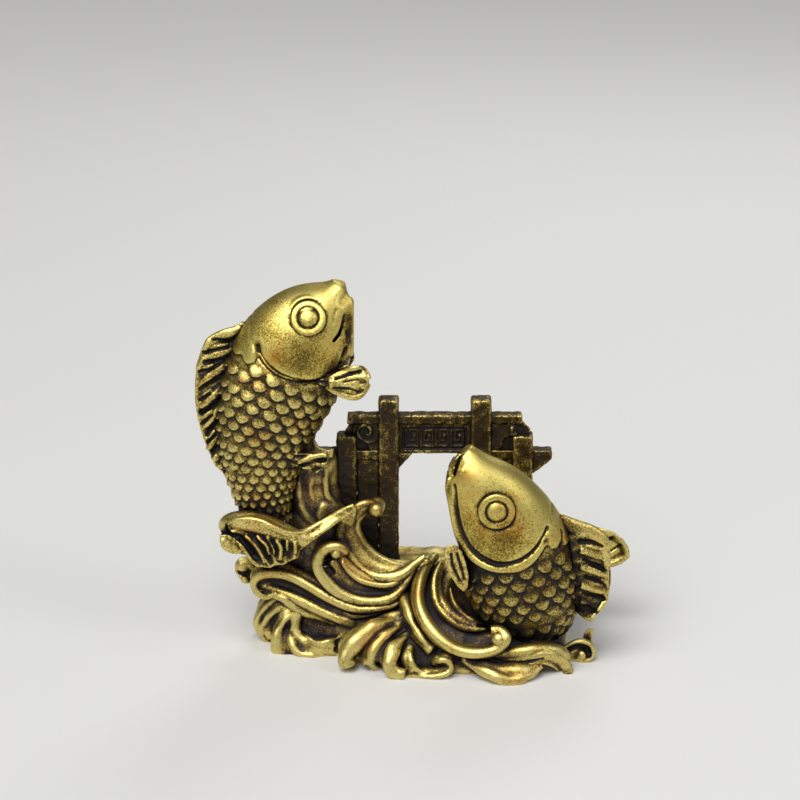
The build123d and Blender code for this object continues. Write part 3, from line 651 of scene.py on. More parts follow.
def scales(fish, body):
    """Rows of scales round a body, from the gill to the tail, each row set half a scale over.
    The nape stays smooth."""
    line, back, around = fish["line"], fish["back"], fish["around"]
    first_pitch, last_pitch = fish["pitches"]
    total = sum((Vector(b) - Vector(a)).length for a, b in zip(line, line[1:]))
    tree = tree_of(body)
    shape = scale_shape()
    copies = []
    way, row = FIRST_ROW, 0
    while found := along(line, way):
        middle, run = found
        middle *= MM
        up = (back - run * back.dot(run)).normalized()
        side = run.cross(up)
        pitch = first_pitch + (last_pitch - first_pitch) * way / total
        high, deep = [
            max((middle - (tree.ray_cast(middle + to * OUTSIDE * MM, -to)[0] or middle)).length, MM)
            for to in (up, side)
        ]
        wide = math.pi * (high + deep) / around
        length, height = [share * pitch * MM for share in SCALE_SHARES]
        for step in range(around):
            angle = (step + 0.5 * (row % 2)) * 2 * math.pi / around
            offset = up * (math.sin(angle) * high) + side * (math.cos(angle) * deep)
            place, normal, _, _ = tree.ray_cast(middle + offset * RAY_START_SHARE, -offset.normalized())
            if place is None or (place - middle).length > FARTHEST_SHARE * max(high, deep):
                continue
            if normal.dot(offset.normalized()) < LEAST_FACING:
                continue
            if share_within([place], fish["nape"], fish["plane"])[0] > NAPE_SHARE:
                continue
            tail = (run - normal * run.dot(normal)).normalized()
            seat = place - normal * (SCALE_SINK * MM)
            copy = linked("scale", shape.data.copy())
            copy.data.transform(placed(seat, tail.cross(normal), tail, normal, (wide, length, height)))
            copies.append(copy)
        way += pitch
        row += 1
    bpy.data.objects.remove(shape)
    return copies


MANTLE_END = 5.5
MANTLE_GRAIN = 0.16
# How far it stands out on the nape, and lies under the skin elsewhere
MANTLE_RISE = 0.35
MANTLE_SINK = 0.6


def mantle(fish):
    """The smooth skin of the nape, where the head runs on into the back in lobes over the scales."""
    skin = from_solid("mantle", f"{fish['name']}_carp_body")
    start, run = along(fish["line"], MANTLE_END)
    edit_all(
        skin, bpy.ops.mesh.bisect, plane_co=start * MM, plane_no=run, use_fill=True, clear_outer=True
    )
    cast(skin, MANTLE_GRAIN, 2)
    share = share_within(points_of(skin), fish["nape"], fish["plane"])
    out = (MANTLE_RISE + MANTLE_SINK) * share - MANTLE_SINK
    move_points(skin, points_of(skin) + normals_of(skin) * (out * MM)[:, None])
    return skin


LIP_WIDTH = 0.8
# Well outside the head
LIP_START = 12


def lips(fish, head):
    """Metal between the jaws, as thick as they are, where the carp's mouth is nearly shut."""
    places = on_plane(curve_through(fish["mouth"], 4), fish["plane"])
    tree = tree_of(head)
    normal = Vector(fish["plane"][1])
    heights = []
    for place, run in zip(places, np.gradient(places, axis=0)):
        across = Vector(run).cross(normal).normalized()
        deep = []
        for reach in (-1.0, 1.0):
            beside = Vector(place) + across * (reach * MM)
            hit = tree.ray_cast(beside + normal * LIP_START * MM, -normal)[0]
            if hit is not None:
                deep.append(abs((hit - beside).dot(normal)))
        heights.append(min(deep) if deep else LIP_WIDTH * MM)
    count = len(places)
    ways = np.tile(np.array(normal), (count, 1))
    return swept(places, ways, np.full(count, LIP_WIDTH * MM), np.array(heights))


RUBBED_ROUNDS = 60


def even_out(piece, spot, radius):
    """Rubs the skin smooth round a spot on the photograph, on both flanks. The radius is in pixels."""
    edges = edges_of(piece)
    points = points_of(piece).astype(float)
    share = nearness(pixels_of(points), spot, radius, 4)[:, None]
    even = np.stack([spread(points[:, i], edges, RUBBED_ROUNDS) for i in range(3)], axis=1)
    move_points(piece, points + share * (even - points))


def slit(head, outline, plane, depth):
    """Cuts the mouth's opening into both flanks of a head."""
    places = on_front(outline, tree_of(head))[0] / MM
    for mirrored in (False, True):
        cutter = prism(outline, places[:, 1].min() - CUT_OVERRUN, places[:, 1].mean() + depth)
        if mirrored:
            move_points(cutter, flank(points_of(cutter).astype(float), plane))
            cutter.data.flip_normals()
        subtract(head, cutter)


FISH_REACH = 9


def trim(fish, piece):
    """Cuts off what stands past the fish's outline."""
    middle = fish["plane"][0][1]
    cut_away(piece, fish["cut"], middle - FISH_REACH, middle + FISH_REACH)


BODY_GRAIN = 0.145
HEAD_GRAIN = 0.13
PLUG_SINK = 0.3
SLIT_DEPTH = 0.6


def scaled_body(fish):
    """The body under its rows of scales."""
    body = from_solid(f"{fish['name']}_carp_scaled_body", f"{fish['name']}_carp_body")
    body = joined(body.name, body, *scales(fish, body))
    cast(body, BODY_GRAIN, 1)
    trim(fish, body)
    return body


def smooth_head(fish):
    """The head, with the skin of its nape, its lips, the rims of its gills and shut eye sockets."""
    name, plane = fish["name"], fish["plane"]
    tree = tree_of(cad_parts[f"{name}_carp_head"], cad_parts[f"{name}_carp_body"])
    head = from_solid(f"{name}_carp_smooth_head", f"{name}_carp_head")
    extra = [mantle(fish), lips(fish, head)]
    for band, width, height in fish["bands"].values():
        places, ways = on_front(band, tree)
        shares = tapered(places, [0, 0.2, 0.8, 1], [0.6, 1, 1, 0.5])
        far_places = flank(places, plane)
        far_ways = (flank(places + ways * MM, plane) - far_places) / MM
        for line, facing in ((places, ways), (far_places, far_ways)):
            extra.append(swept(line, facing, shares * width / 2 * MM, shares * height * MM))
    for side in FRONT_AND_BACK:
        plug = from_solid("plug", f"{name}_carp_{side}_eye")
        inward = Vector(plane[0]) * MM - Vector(points_of(plug).mean(axis=0))
        shift = inward.project(Vector(plane[1])).normalized() * (PLUG_SINK * MM)
        plug.data.transform(Matrix.Translation(shift))
        extra.append(plug)
    for spot, radius in fish["knobs"].values():
        extra.append(sphere(radius, on_plane([spot], plane)[0], 20, 12))
    head = joined(head.name, head, *extra)
    cast(head, HEAD_GRAIN, 4)
    for spot, radius, shift in fish["pulls"].values():
        share = nearness(pixels_of(points_of(head)), spot, radius)
        move_points(head, points_of(head) + share[:, None] * np.array(shift) * MM)
    for spot, radius in fish["evened"].values():
        even_out(head, spot, radius)
    trim(fish, head)
    slit(head, fish["slit"], plane, SLIT_DEPTH)
    cast(head, HEAD_GRAIN, 6)
    return head


def ringed_eye(fish, side, head):
    """An eye seated on the CAD eye's place and axis, with a groove pressed round it into the head."""
    name, plane, size = fish["name"], fish["plane"], fish["eye_size"]
    points = points_of(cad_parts[f"{name}_carp_{side}_eye"]).astype(float)
    middle = points.mean(axis=0)
    # The thinnest way through the CAD eye is its axis.
    out = np.linalg.svd(points - middle, full_matrices=False)[2][2]
    out = Vector(out if out @ (middle - np.array(plane[0]) * MM) > 0 else -out)
    shift = Vector(fish["eye_shift"]) * MM
    middle = Vector(middle) + shift - out * shift.dot(out)
    across = out.orthogonal().normalized()
    down = out.cross(across)
    eye = eye_shape()
    eye.data.transform(placed(middle + out * (fish["eye_lift"] * MM), across, down, out, (size, size, 1)))
    eye.name = f"{name}_carp_{side}_ringed_eye"
    cast(eye, EYE_GRAIN, 1)
    ring = np.array([
        middle + (across * math.cos(turn) + down * math.sin(turn)) * (EYE_RING * size * MM)
        for turn in np.linspace(0, 2 * math.pi, 33)
    ])
    groove(head, ring + np.array(out) * EYE_GROOVE_LIFT * MM, EYE_GROOVE_WIDTH, EYE_GROOVE_DEPTH)
    finish_piece(eye, head_brass, f"{name}_carp_{side}_eye")


def carp(**fish):
    """A whole carp. Its grooves run over both head and body, on both flanks."""
    name, plane = fish["name"], fish["plane"]
    body, head = scaled_body(fish), smooth_head(fish)
    tree = tree_of(head, body)
    for line, width, depth in fish["grooves"].values():
        places, _ = on_front(line, tree)
        for piece in (head, body):
            groove(piece, places, width, depth)
            groove(piece, flank(places, plane), width, depth)
    modify(head, "SMOOTH", factor=0.5, iterations=2)
    for side in FRONT_AND_BACK:
        ringed_eye(fish, side, head)
    finish_piece(body, fish["metal"], f"{name}_carp_body")
    finish_piece(head, head_brass, f"{name}_carp_head")


# line is the middle of the body, from the gill to the root of the tail, and back the way its back faces.
# around is the scales in a row, pitches the distance between rows at both ends, and plane lies between
# the flanks. The rest is drawn over the photograph:
# - nape, slit and cut: the smooth nape, the mouth's opening, and what is cut off
# - mouth: the line between the jaws
# - knobs: balls that fill the snout, with their radius
# - pulls: spots to pull, a radius in pixels and a shift
# - evened: spots to rub smooth, and a radius in pixels
# - bands and grooves: a line, its width, and its height or depth

carp(
    name="left", metal=carp_brass, back=Vector((-1, 0, 0)), around=18, pitches=(1.65, 1.15),
    plane=((-17, -1.5, 45), (0, 1, 0)),
    line=[(-16.0, -1.5, 45.1), (-17.9, -1.5, 42.1), (-19.57, -1.5, 38.76), (-20.87, -1.5, 35.0),
        (-21.75, -1.5, 31.45), (-22.2, -1.5, 27.8), (-22.17, -1.5, 24.5), (-21.8, -1.5, 21.5),
        (-20.9, -1.5, 19.1)],
    nape=[(266, 290), (244, 322), (234, 334), (231, 348), (232, 358), (237, 361), (241, 356), (243, 363),
        (249, 367), (256, 363), (259, 354), (266, 345), (276, 320)],
    mouth=[(328, 320), (336, 308), (343, 297), (350, 287)],
    slit=[(346, 309), (343, 315), (341, 325), (338, 333), (332, 341), (334, 343), (340, 336), (343, 327),
        (345, 317), (352, 313), (352, 310)],
    cut=[(345, 270), (345, 282), (347, 290), (349, 296), (352, 297), (354, 301), (354, 320), (354, 352),
        (372, 352), (372, 270)],
    knobs=dict(
        upper_lip=((341, 288), 0.8),
        lip_middle=((343, 296), 1.0),
        lower_lip=((344, 303), 0.8),
    ),
    pulls=dict(snout=((342, 284), 9, (0.35, 0, 0.2))),
    evened=dict(lips=((344, 298), 9)),
    bands=dict(chin=([(351, 300), (352, 312), (352, 328), (351, 342)], 0.8, 0.25)),
    grooves=dict(
        gill=([(257, 346), (259, 355), (265, 364), (274, 372), (286, 379), (302, 382), (320, 380),
            (334, 371), (342, 361), (346, 350)], 0.72, 0.6),
        mouth_corner=([(347, 332), (348, 336)], 0.5, 0.2),
        cheek=([(336, 310), (334, 317), (334, 322)], 0.5, 0.12),
    ),
    eye_lift=0.0, eye_shift=(0.1, 0, -0.5), eye_size=0.97,
)

RIGHT_HEAD_RUN = Vector((-0.147, -0.038, 0.252)).normalized()
RIGHT_HEAD_UP = (Vector((1, 0, 0)) - RIGHT_HEAD_RUN * RIGHT_HEAD_RUN.x).normalized()

# The right carp's body takes the darker brass with painted shade.
carp(
    name="right", metal=painted_shade_brass, back=Vector((1, 0, 0)), around=17, pitches=(1.8, 1.3),
    plane=((7.5, -8.9, 24.5), tuple(RIGHT_HEAD_RUN.cross(RIGHT_HEAD_UP))),
    line=[(9.5, -8.2, 22.4), (11.1, -7.6, 18.6), (12.1, -7.0, 14.5), (13.0, -6.0, 10.4), (14.2, -3.0, 6.4),
        (16.2, 1.0, 5.2), (18.6, 4.5, 6.8), (20.3, 6.5, 9.4), (21.2, 6.9, 11.6)],
    nape=[(500, 470), (546, 474), (572, 500), (588, 523), (592, 533), (575, 540), (574, 552), (567, 558),
        (561, 554), (561, 544), (558, 549), (551, 551), (546, 546), (544, 535), (536, 520)],
    mouth=[(470, 484), (466, 474), (462, 463), (459, 456)],
    slit=[(461, 451), (458, 459), (455, 467), (453, 476), (455, 477), (457.5, 468), (460.5, 460),
        (464, 452)],
    cut=[(425, 495), (446, 495), (449, 512), (451.5, 524), (454.5, 536), (459, 547), (425, 560)],
    knobs=dict(
        upper_lip=((466, 459), 0.7),
        lip_middle=((462, 467), 0.7),
        lower_lip=((458, 475), 0.6),
    ),
    pulls=dict(snout=((472, 451), 12, (-0.35, 0, 0.65))),
    evened=dict(lips=((469, 462), 9)),
    bands=dict(
        gill=([(449, 470), (448, 488), (452, 505), (455, 522), (461, 541), (473, 557), (488, 566),
            (503, 569), (520, 567), (534, 558), (545, 543)], 1.25, 0.42),
        chin=([(456, 455), (453, 463), (451, 471), (451, 478)], 0.8, 0.35),
    ),
    grooves=dict(
        gill=([(454, 486), (455, 495), (456, 505), (459, 522), (466, 541), (478, 555), (496, 564),
            (515, 563), (532, 553), (543, 539), (548, 528)], 0.55, 0.55),
        nape_lobe=([(562, 530), (563, 538), (560, 546)], 0.5, 0.3),
    ),
    eye_lift=0.2, eye_shift=(0.3, 0, 0), eye_size=1.0,
)


# Fins and waves. What is drawn over the photograph is laid on each solid:
# - ridges: a line, its width and height, and its shares at both ends
# - sheets: two lines, and how deep the sheet between them sags
# - prisms: an outline, and how far it stays within the solid in front and behind
# - balls: a spot, a radius, and the share of it that is sunk
# - grooves: a line, its width and depth
# cuts come off the solid, trims off the cast piece, and an afresh outline takes the solid's place.
# softened and rounds say how often the solid and the cast piece are smoothed.

SOLID_GRAIN = 0.15
FRONT_INSET = 0.8
REAR_INSET = 0.2


def drawn_piece(node_name, ending, material, slot, grain=0.12, rounds=3, **drawn):
    """A piece that starts as its CAD solid, with what is drawn on it, cast as one."""
    def each(kind):
        return drawn.get(kind, {}).values()

    name = f"{node_name}_{ending}"
    piece = from_solid(name, node_name)
    if "afresh" in drawn:
        depths = points_of(piece)[:, 1] / MM
        bpy.data.objects.remove(piece)
        piece = prism(drawn["afresh"], depths.min() + FRONT_INSET, depths.max() - REAR_INSET)
    if "softened" in drawn:
        cast(piece, SOLID_GRAIN, drawn["softened"])
    depths = points_of(piece)[:, 1] / MM
    front, rear = depths.min(), depths.max()
    for outline in each("cuts"):
        cut_away(piece, outline, front - CUT_OVERRUN, rear + CUT_OVERRUN)
    piece = joined(name, piece, *[
        prism(outline, front + front_inset, rear - rear_inset)
        for outline, front_inset, rear_inset in each("prisms")
    ])
    tree = tree_of(piece)
    extra = [ridge(line, tree, *sizes) for line, *sizes in each("ridges")]
    extra += [sheet(first, second, tree, sag) for first, second, sag in each("sheets")]
    extra += [ball(spot, tree, radius, sink) for spot, radius, sink in each("balls")]
    piece = joined(name, piece, *extra)
    if "trims" in drawn:
        cast(piece, grain, 0)
    for outline in each("trims"):
        cut_away(piece, outline, front - 2 * CUT_OVERRUN, rear + 2 * CUT_OVERRUN)
    cast(piece, grain, rounds)
    tree = tree_of(piece)
    for line, width, depth in each("grooves"):
        groove(piece, on_front(line, tree)[0], width, depth)
    if "uneven" in drawn:
        weathered(piece, *drawn["uneven"])
    finish_piece(piece, material, node_name)


RAYED = {"ending": "rayed", "material": carp_brass, "slot": "carp_brass"}
FLOWING = {"ending": "flowing", "material": wave_brass, "slot": "wave_brass"}
FOLDED = {"ending": "folded", "material": splash_brass, "slot": "wave_brass"}
PECTORAL_TOP = [(327, 381), (338, 375), (350, 370), (360, 368), (366, 372), (369, 379)]
PECTORAL_FOOT = [(327, 386), (338, 393), (350, 397), (358, 397), (364, 392), (369, 384)]

drawn_piece(
    "left_carp_dorsal_fin", **RAYED, softened=14,
    cuts=dict(
        spine=[(246, 318), (237, 325), (225, 330), (214, 335), (205, 343), (199, 353), (196, 364),
            (195, 380), (195, 400), (197, 415), (200, 428), (204, 440), (209, 452), (215, 466), (222, 480),
            (190, 480), (170, 400), (190, 310)],
    ),
    sheets=dict(
        web=([(241, 332), (236, 346), (230, 362), (224, 380), (222, 400), (222, 420), (223, 440), (223, 460),
            (224, 474)],
            [(228, 330), (214, 336), (205, 345), (200, 355), (198, 366), (197, 385), (197, 405), (199, 420),
            (203, 436), (209, 452), (217, 468)], 0.1),
    ),
    ridges=dict(
        leading_edge=([(244, 329), (232, 332), (220, 336), (210, 342), (204, 350)], 1.5, 0.5, 0.8, 0.5),
        spur_1=([(228, 344), (218, 346), (209, 348)], 0.8, 0.35, 0.8, 0.3),
        ray_1=([(233, 350), (218, 354), (206, 358), (200, 365)], 1.3, 0.5, 0.8, 0.4),
        spur_2=([(214, 364), (204, 368)], 0.7, 0.35, 0.8, 0.4),
        ray_2=([(230, 363), (222, 368), (211, 375), (200, 384)], 1.4, 0.55, 1, 0.4),
        spur_3=([(212, 390), (202, 396)], 0.6, 0.35, 0.8, 0.5),
        ray_3=([(223, 388), (213, 396), (201, 408)], 1.3, 0.55, 1, 0.4),
        spur_4=([(213, 410), (202, 418)], 0.8, 0.35, 0.8, 0.5),
        ray_4=([(221, 406), (211, 419), (203, 429)], 1.2, 0.55, 1, 0.4),
        spur_5=([(215, 430), (206, 439)], 0.8, 0.35, 0.8, 0.5),
        ray_5=([(222, 430), (214, 441), (207, 450)], 1.2, 0.55, 1, 0.4),
        ray_6=([(225, 447), (220, 454), (212, 460)], 1.5, 0.55, 1, 0.5),
        ray_7=([(225, 462), (220, 468)], 1.0, 0.4, 1, 0.5),
    ),
    grooves=dict(
        fold_1=([(214, 340), (226, 340), (236, 340)], 0.5, 0.4),
        fold_2=([(204, 352), (216, 349), (228, 347)], 0.35, 0.35),
        fold_3=([(205, 362), (217, 360), (229, 357)], 0.5, 0.45),
        fold_4=([(200, 372), (211, 368), (221, 362)], 0.4, 0.4),
        fold_5=([(201, 389), (211, 383), (221, 377), (226, 384)], 0.55, 0.45),
        fold_6=([(200, 400), (209, 394)], 0.35, 0.35),
        fold_7=([(202, 412), (212, 404), (220, 399)], 0.55, 0.45),
        fold_8=([(202, 424), (212, 415)], 0.35, 0.35),
        fold_9=([(207, 435), (213, 425), (219, 418)], 0.55, 0.45),
        fold_10=([(207, 444), (215, 434)], 0.35, 0.35),
        fold_11=([(210, 455), (217, 446), (222, 439)], 0.55, 0.45),
    ),
)
drawn_piece(
    "left_carp_front_pectoral", **RAYED, rounds=5,
    prisms=dict(
        blade=([(328, 380), (340, 374), (352, 369), (361, 368), (367, 373), (369, 380), (367, 388),
            (361, 395), (352, 397), (340, 394), (328, 388)], 0.35, 0.3),
    ),
    sheets=dict(web=(PECTORAL_TOP, PECTORAL_FOOT, -0.4)),
    ridges=dict(
        top_edge=(PECTORAL_TOP, 0.9, 0.3, 1, 0.8),
        foot_edge=(PECTORAL_FOOT, 0.9, 0.3, 1, 0.8),
        ray_1=([(329, 383), (345, 379), (366, 377)], 1.2, 0.5, 1, 0.9),
        ray_2=([(329, 385), (345, 384), (365, 386)], 1.2, 0.5, 1, 0.9),
    ),
    grooves=dict(
        fold_1=([(336, 379), (350, 374), (361, 371)], 0.35, 0.3),
        fold_2=([(344, 382), (356, 380), (364, 380)], 0.3, 0.15),
        fold_3=([(334, 388), (348, 389), (359, 392)], 0.4, 0.2),
    ),
)
drawn_piece("left_carp_back_pectoral", **RAYED)
drawn_piece(
    "left_carp_anal_fin", **RAYED, rounds=7,
    ridges=dict(edge=([(297, 463), (308, 458), (320, 455), (327, 455)], 0.8, 0.45, 0.8, 0.9)),
    grooves=dict(
        fold_1=([(300, 466), (312, 463), (325, 460)], 0.4, 0.35),
        fold_2=([(304, 472), (322, 468)], 0.4, 0.3),
    ),
)
drawn_piece(
    "left_carp_tail_fin", **RAYED, rounds=5,
    prisms=dict(
        near_lobe=([(219, 535), (228, 535), (238, 538), (246, 550), (243, 555), (235, 554), (228, 551),
            (222, 545)], 0.9, 1.0),
        drape=([(230, 530), (262, 534), (300, 538), (300, 548), (296, 554), (285, 557), (276, 562),
            (268, 568), (256, 568), (243, 552)], 1.3, 1.0),
    ),
    trims=dict(
        outside=[(219, 552), (232, 554), (241, 554), (246, 558), (252, 563), (257, 567), (263, 567),
            (270, 568), (276, 565), (283, 565), (290, 561), (298, 558), (300, 550), (309, 544), (322, 534),
            (342, 520), (350, 545), (340, 600), (219, 600)],
    ),
    ridges=dict(
        lobe_edge=([(222, 539), (226, 545), (233, 549), (241, 551)], 1.5, 0.4, 0.6, 0.5),
        top_rim=([(220, 531), (228, 523), (244, 519), (260, 521), (275, 528), (288, 533), (302, 532),
            (320, 523), (342, 510), (354, 505)], 0.9, 0.35, 0.5, 0.6),
        rib_1=([(232, 535), (243, 547), (251, 557), (256, 563)], 0.75, 0.7, 0.6, 0.6),
        rib_2=([(245, 535), (255, 543), (262, 554), (266, 562)], 0.95, 0.9, 0.6, 0.9),
        rib_3=([(257, 535), (266, 544), (270, 554)], 0.6, 0.7, 0.7, 0.6),
        rib_4=([(267, 536), (273, 545), (274, 555)], 0.55, 0.65, 0.7, 0.6),
        rib_5=([(277, 539), (281, 549), (280, 560)], 0.85, 0.8, 0.8, 0.8),
        rib_6=([(287, 541), (288, 551)], 0.6, 0.65, 0.7, 0.6),
        rib_7=([(295, 542), (295, 554)], 0.75, 0.7, 0.7, 0.6),
    ),
    grooves=dict(
        lobe_fold=([(220, 534), (228, 534), (236, 537)], 0.75, 0.6),
        fold_1=([(240, 538), (247, 547), (254, 556)], 0.75, 0.5),
        fold_2=([(253, 539), (260, 547), (266, 557)], 0.45, 0.35),
        fold_3=([(272, 541), (277, 552)], 0.35, 0.3),
        fold_4=([(284, 542), (284, 552)], 0.4, 0.35),
        rim_notch=([(226, 523), (227, 528), (230, 533)], 0.35, 0.3),
    ),
)
drawn_piece(
    "right_carp_dorsal_fin", **RAYED, softened=14,
    prisms=dict(
        shoulder=([(556, 512), (565, 518), (574, 523), (588, 527), (600, 534), (607, 545), (609, 557),
            (600, 556), (588, 546), (574, 542), (558, 534)], 0.7, 1.6),
    ),
    trims=dict(
        outside=[(612, 500), (610, 548), (611, 562), (611, 582), (608, 600), (601, 614), (593, 621),
            (585, 626), (585, 660), (640, 660), (640, 500)],
    ),
    sheets=dict(
        web=([(572, 527), (576, 545), (578, 562), (580, 582), (580, 600), (574, 612)],
            [(590, 530), (601, 540), (607, 553), (609, 567), (609, 582), (606, 596), (600, 609), (590, 619)],
            0.1),
    ),
    ridges=dict(
        leading_edge=([(558, 520), (568, 524), (578, 528), (590, 532), (601, 540), (606, 552), (608, 566)],
            2.2, 0.6, 0.9, 0.5),
        rim=([(608, 563), (609, 580), (606, 597), (600, 609), (591, 618)], 0.9, 0.35, 0.6, 0.5),
        ray_1=([(580, 550), (592, 553), (604, 558)], 1.3, 0.5, 0.8, 0.5),
        ray_2=([(580, 566), (594, 570), (606, 576)], 1.3, 0.5, 0.8, 0.5),
        ray_3=([(581, 585), (596, 589), (607, 592)], 1.4, 0.5, 0.8, 0.5),
        ray_4=([(581, 600), (592, 605), (602, 609)], 1.3, 0.5, 0.8, 0.5),
        ray_5=([(579, 611), (588, 617), (594, 620)], 1.0, 0.45, 0.8, 0.5),
    ),
    grooves=dict(
        fold_1=([(580, 542), (592, 543), (601, 547)], 0.6, 0.45),
        fold_2=([(584, 560), (595, 565), (606, 571)], 0.5, 0.45),
        fold_3=([(586, 577), (598, 581), (605, 586)], 0.5, 0.45),
        fold_4=([(584, 594), (596, 597), (604, 599)], 0.5, 0.45),
        fold_5=([(583, 606), (592, 610), (599, 613)], 0.5, 0.45),
    ),
)
drawn_piece(
    "right_carp_front_pectoral", **RAYED, rounds=14,
    afresh=[(444, 549), (448, 545), (455, 545), (462, 551), (466, 562), (469, 576), (468, 587), (464, 592),
        (457, 586), (450, 575), (445, 562)],
    grooves=dict(
        fold_1=([(451, 554), (453, 566), (460, 581)], 0.35, 0.22),
        fold_2=([(457, 554), (461, 567), (464, 579)], 0.35, 0.22),
    ),
)
drawn_piece("right_carp_back_pectoral", **RAYED)
drawn_piece(
    "right_carp_tail_fin", **RAYED, softened=10, rounds=5,
    prisms=dict(
        blade=([(584, 527), (600, 530), (613, 534), (622, 540), (627, 549), (626, 556), (619, 561),
            (606, 566), (596, 556)], 0.1, 0.2),
    ),
    trims=dict(
        outside=[(570, 490), (570, 512), (590, 525), (601, 528), (614, 532), (623, 539), (629, 548),
            (630, 557), (622, 564), (610, 568), (640, 590), (660, 490)],
    ),
    ridges=dict(
        rim=([(586, 527), (600, 530), (613, 534), (622, 540), (627, 549), (625, 557), (617, 562),
            (606, 565)], 1.5, 0.6, 0.8, 0.6),
    ),
    grooves=dict(
        fold_1=([(603, 543), (608, 541), (612, 538)], 0.6, 0.3),
        fold_2=([(611, 551), (616, 548), (620, 545)], 0.5, 0.25),
    ),
)
drawn_piece(
    "wave_base", **FLOWING, grain=0.2, uneven=(0.3, 2.2),
    ridges=dict(
        bowl_shoulder=([(424, 558), (413, 571), (408, 586), (406, 601), (409, 616), (416, 630), (425, 642),
            (436, 654)], 1.4, 0.7, 0.15, 0.1),
        lobe_1=([(403, 618), (390, 621), (376, 627), (363, 636), (352, 647), (345, 657), (348, 666)], 2.5,
            1.0, 0.1, 0.9),
        lobe_2=([(404, 626), (393, 630), (382, 639), (374, 650), (371, 661), (377, 670)], 1.6, 0.8, 0.1,
            0.7),
        lobe_3=([(408, 636), (400, 642), (392, 652), (389, 663), (394, 672), (404, 675)], 2.2, 0.9, 0.1,
            0.7),
        lobe_4=([(410, 651), (411, 660), (415, 668), (422, 673)], 1.0, 0.6, 0.4, 0.5),
        front_roll=([(396, 676), (415, 676), (432, 676), (445, 674), (451, 667), (447, 661), (438, 660),
            (434, 664)], 0.9, 0.6, 0.4, 1.2),
        left_rim=([(281, 596), (270, 603), (262, 612), (257, 622), (259, 634)], 0.9, 0.6, 0.4, 0.6),
        left_fold=([(287, 605), (276, 611), (267, 619), (262, 630), (266, 640), (273, 643)], 1.0, 0.6, 0.4,
            0.5),
        swirl_1=([(291, 615), (282, 624), (277, 636), (278, 648), (286, 656), (300, 659), (318, 661),
            (334, 660)], 1.9, 0.85, 0.15, 0.3),
        swirl_2=([(297, 619), (292, 629), (291, 640), (296, 650), (306, 655), (320, 656), (334, 654)], 1.2,
            0.65, 0.15, 0.3),
        swirl_3=([(302, 624), (304, 633), (311, 640), (321, 643), (332, 641), (342, 635)], 0.8, 0.5, 0.2,
            0.15),
        right_leaf=([(463, 662), (474, 668), (488, 674), (502, 679), (516, 680), (530, 675), (543, 667)],
            1.8, 0.8, 0.15, 0.2),
    ),
    balls=dict(roll_tip=((441, 665), 0.75, 0.3)),
)
drawn_piece(
    "gate_crest", **FLOWING,
    sheets=dict(
        hollow=([(350, 514), (344, 522), (341, 535), (345, 549), (355, 564), (370, 575), (388, 578),
            (403, 574)],
            [(362, 512), (358, 522), (359, 533), (366, 545), (377, 555), (391, 562), (404, 566)], 0.6),
    ),
    ridges=dict(
        lip=([(352, 512), (344, 522), (341, 535), (345, 549), (355, 564), (370, 575), (388, 578), (403, 574),
            (415, 564), (425, 556)], 1.9, 0.8, 0.5, 0.4),
        inner_lip=([(366, 513), (358, 522), (359, 533), (366, 545), (377, 555), (391, 562), (404, 565)], 1.0,
            0.45, 0.5, 0.3),
        hook=([(343, 520), (352, 511), (362, 504), (371, 503), (378, 507)], 1.1, 0.55, 0.8, 0.9),
    ),
    balls=dict(tip=((376.5, 509.5), 1.0, -0.4)),
)
drawn_piece(
    "hook_crest", **FLOWING,
    sheets=dict(
        hollow=([(320, 560), (321, 573), (329, 584), (340, 593), (356, 600), (374, 602), (389, 599),
            (401, 590)],
            [(342, 558), (349, 570), (360, 579), (373, 583), (387, 584), (398, 581), (408, 574)], 0.7),
    ),
    ridges=dict(
        lip=([(347, 552), (340, 547), (330, 547), (321, 553), (318, 563), (321, 573), (329, 584), (340, 593),
            (356, 600), (374, 602), (389, 599), (401, 590), (409, 578), (415, 567)], 1.8, 0.8, 0.7, 0.3),
        inner_lip=([(342, 562), (349, 572), (360, 580), (373, 584), (387, 585), (400, 581), (410, 573)], 0.9,
            0.4, 0.5, 0.3),
    ),
    balls=dict(tip=((336, 553), 0.8, 0.3)),
    grooves=dict(throat=([(325, 562), (326, 567), (331, 572)], 0.9, 0.9)),
)
drawn_piece(
    "ribbon_crest", **FLOWING,
    sheets=dict(
        upper_hollow=([(259, 577), (270, 574), (283, 575), (297, 580), (311, 588), (326, 597), (342, 605),
            (358, 610)],
            [(262, 588), (270, 583), (284, 584), (299, 590), (314, 599), (328, 607), (342, 612), (356, 616)],
            0.15),
        lower_hollow=([(266, 587), (284, 585), (299, 591), (314, 600), (328, 608), (342, 613), (356, 617)],
            [(262, 594), (275, 596), (288, 602), (300, 610), (318, 616), (332, 622), (350, 629)], 0.9),
    ),
    ridges=dict(
        upper=([(277, 593), (266, 597), (257, 592), (254, 583), (259, 576), (270, 573), (283, 574),
            (297, 579), (311, 587), (326, 596), (342, 604), (358, 609), (376, 609), (392, 606), (402, 601)],
            1.5, 0.65, 0.5, 0.3),
        middle=([(262, 588), (270, 583), (284, 584), (299, 590), (314, 599), (328, 607), (342, 612),
            (356, 616), (372, 615), (390, 610)], 0.8, 0.4, 0.4, 0.3),
        lower=([(262, 593), (272, 595), (283, 598), (293, 606), (305, 613), (318, 616), (332, 622),
            (350, 629)], 1.4, 0.6, 0.6, 0.3),
    ),
)
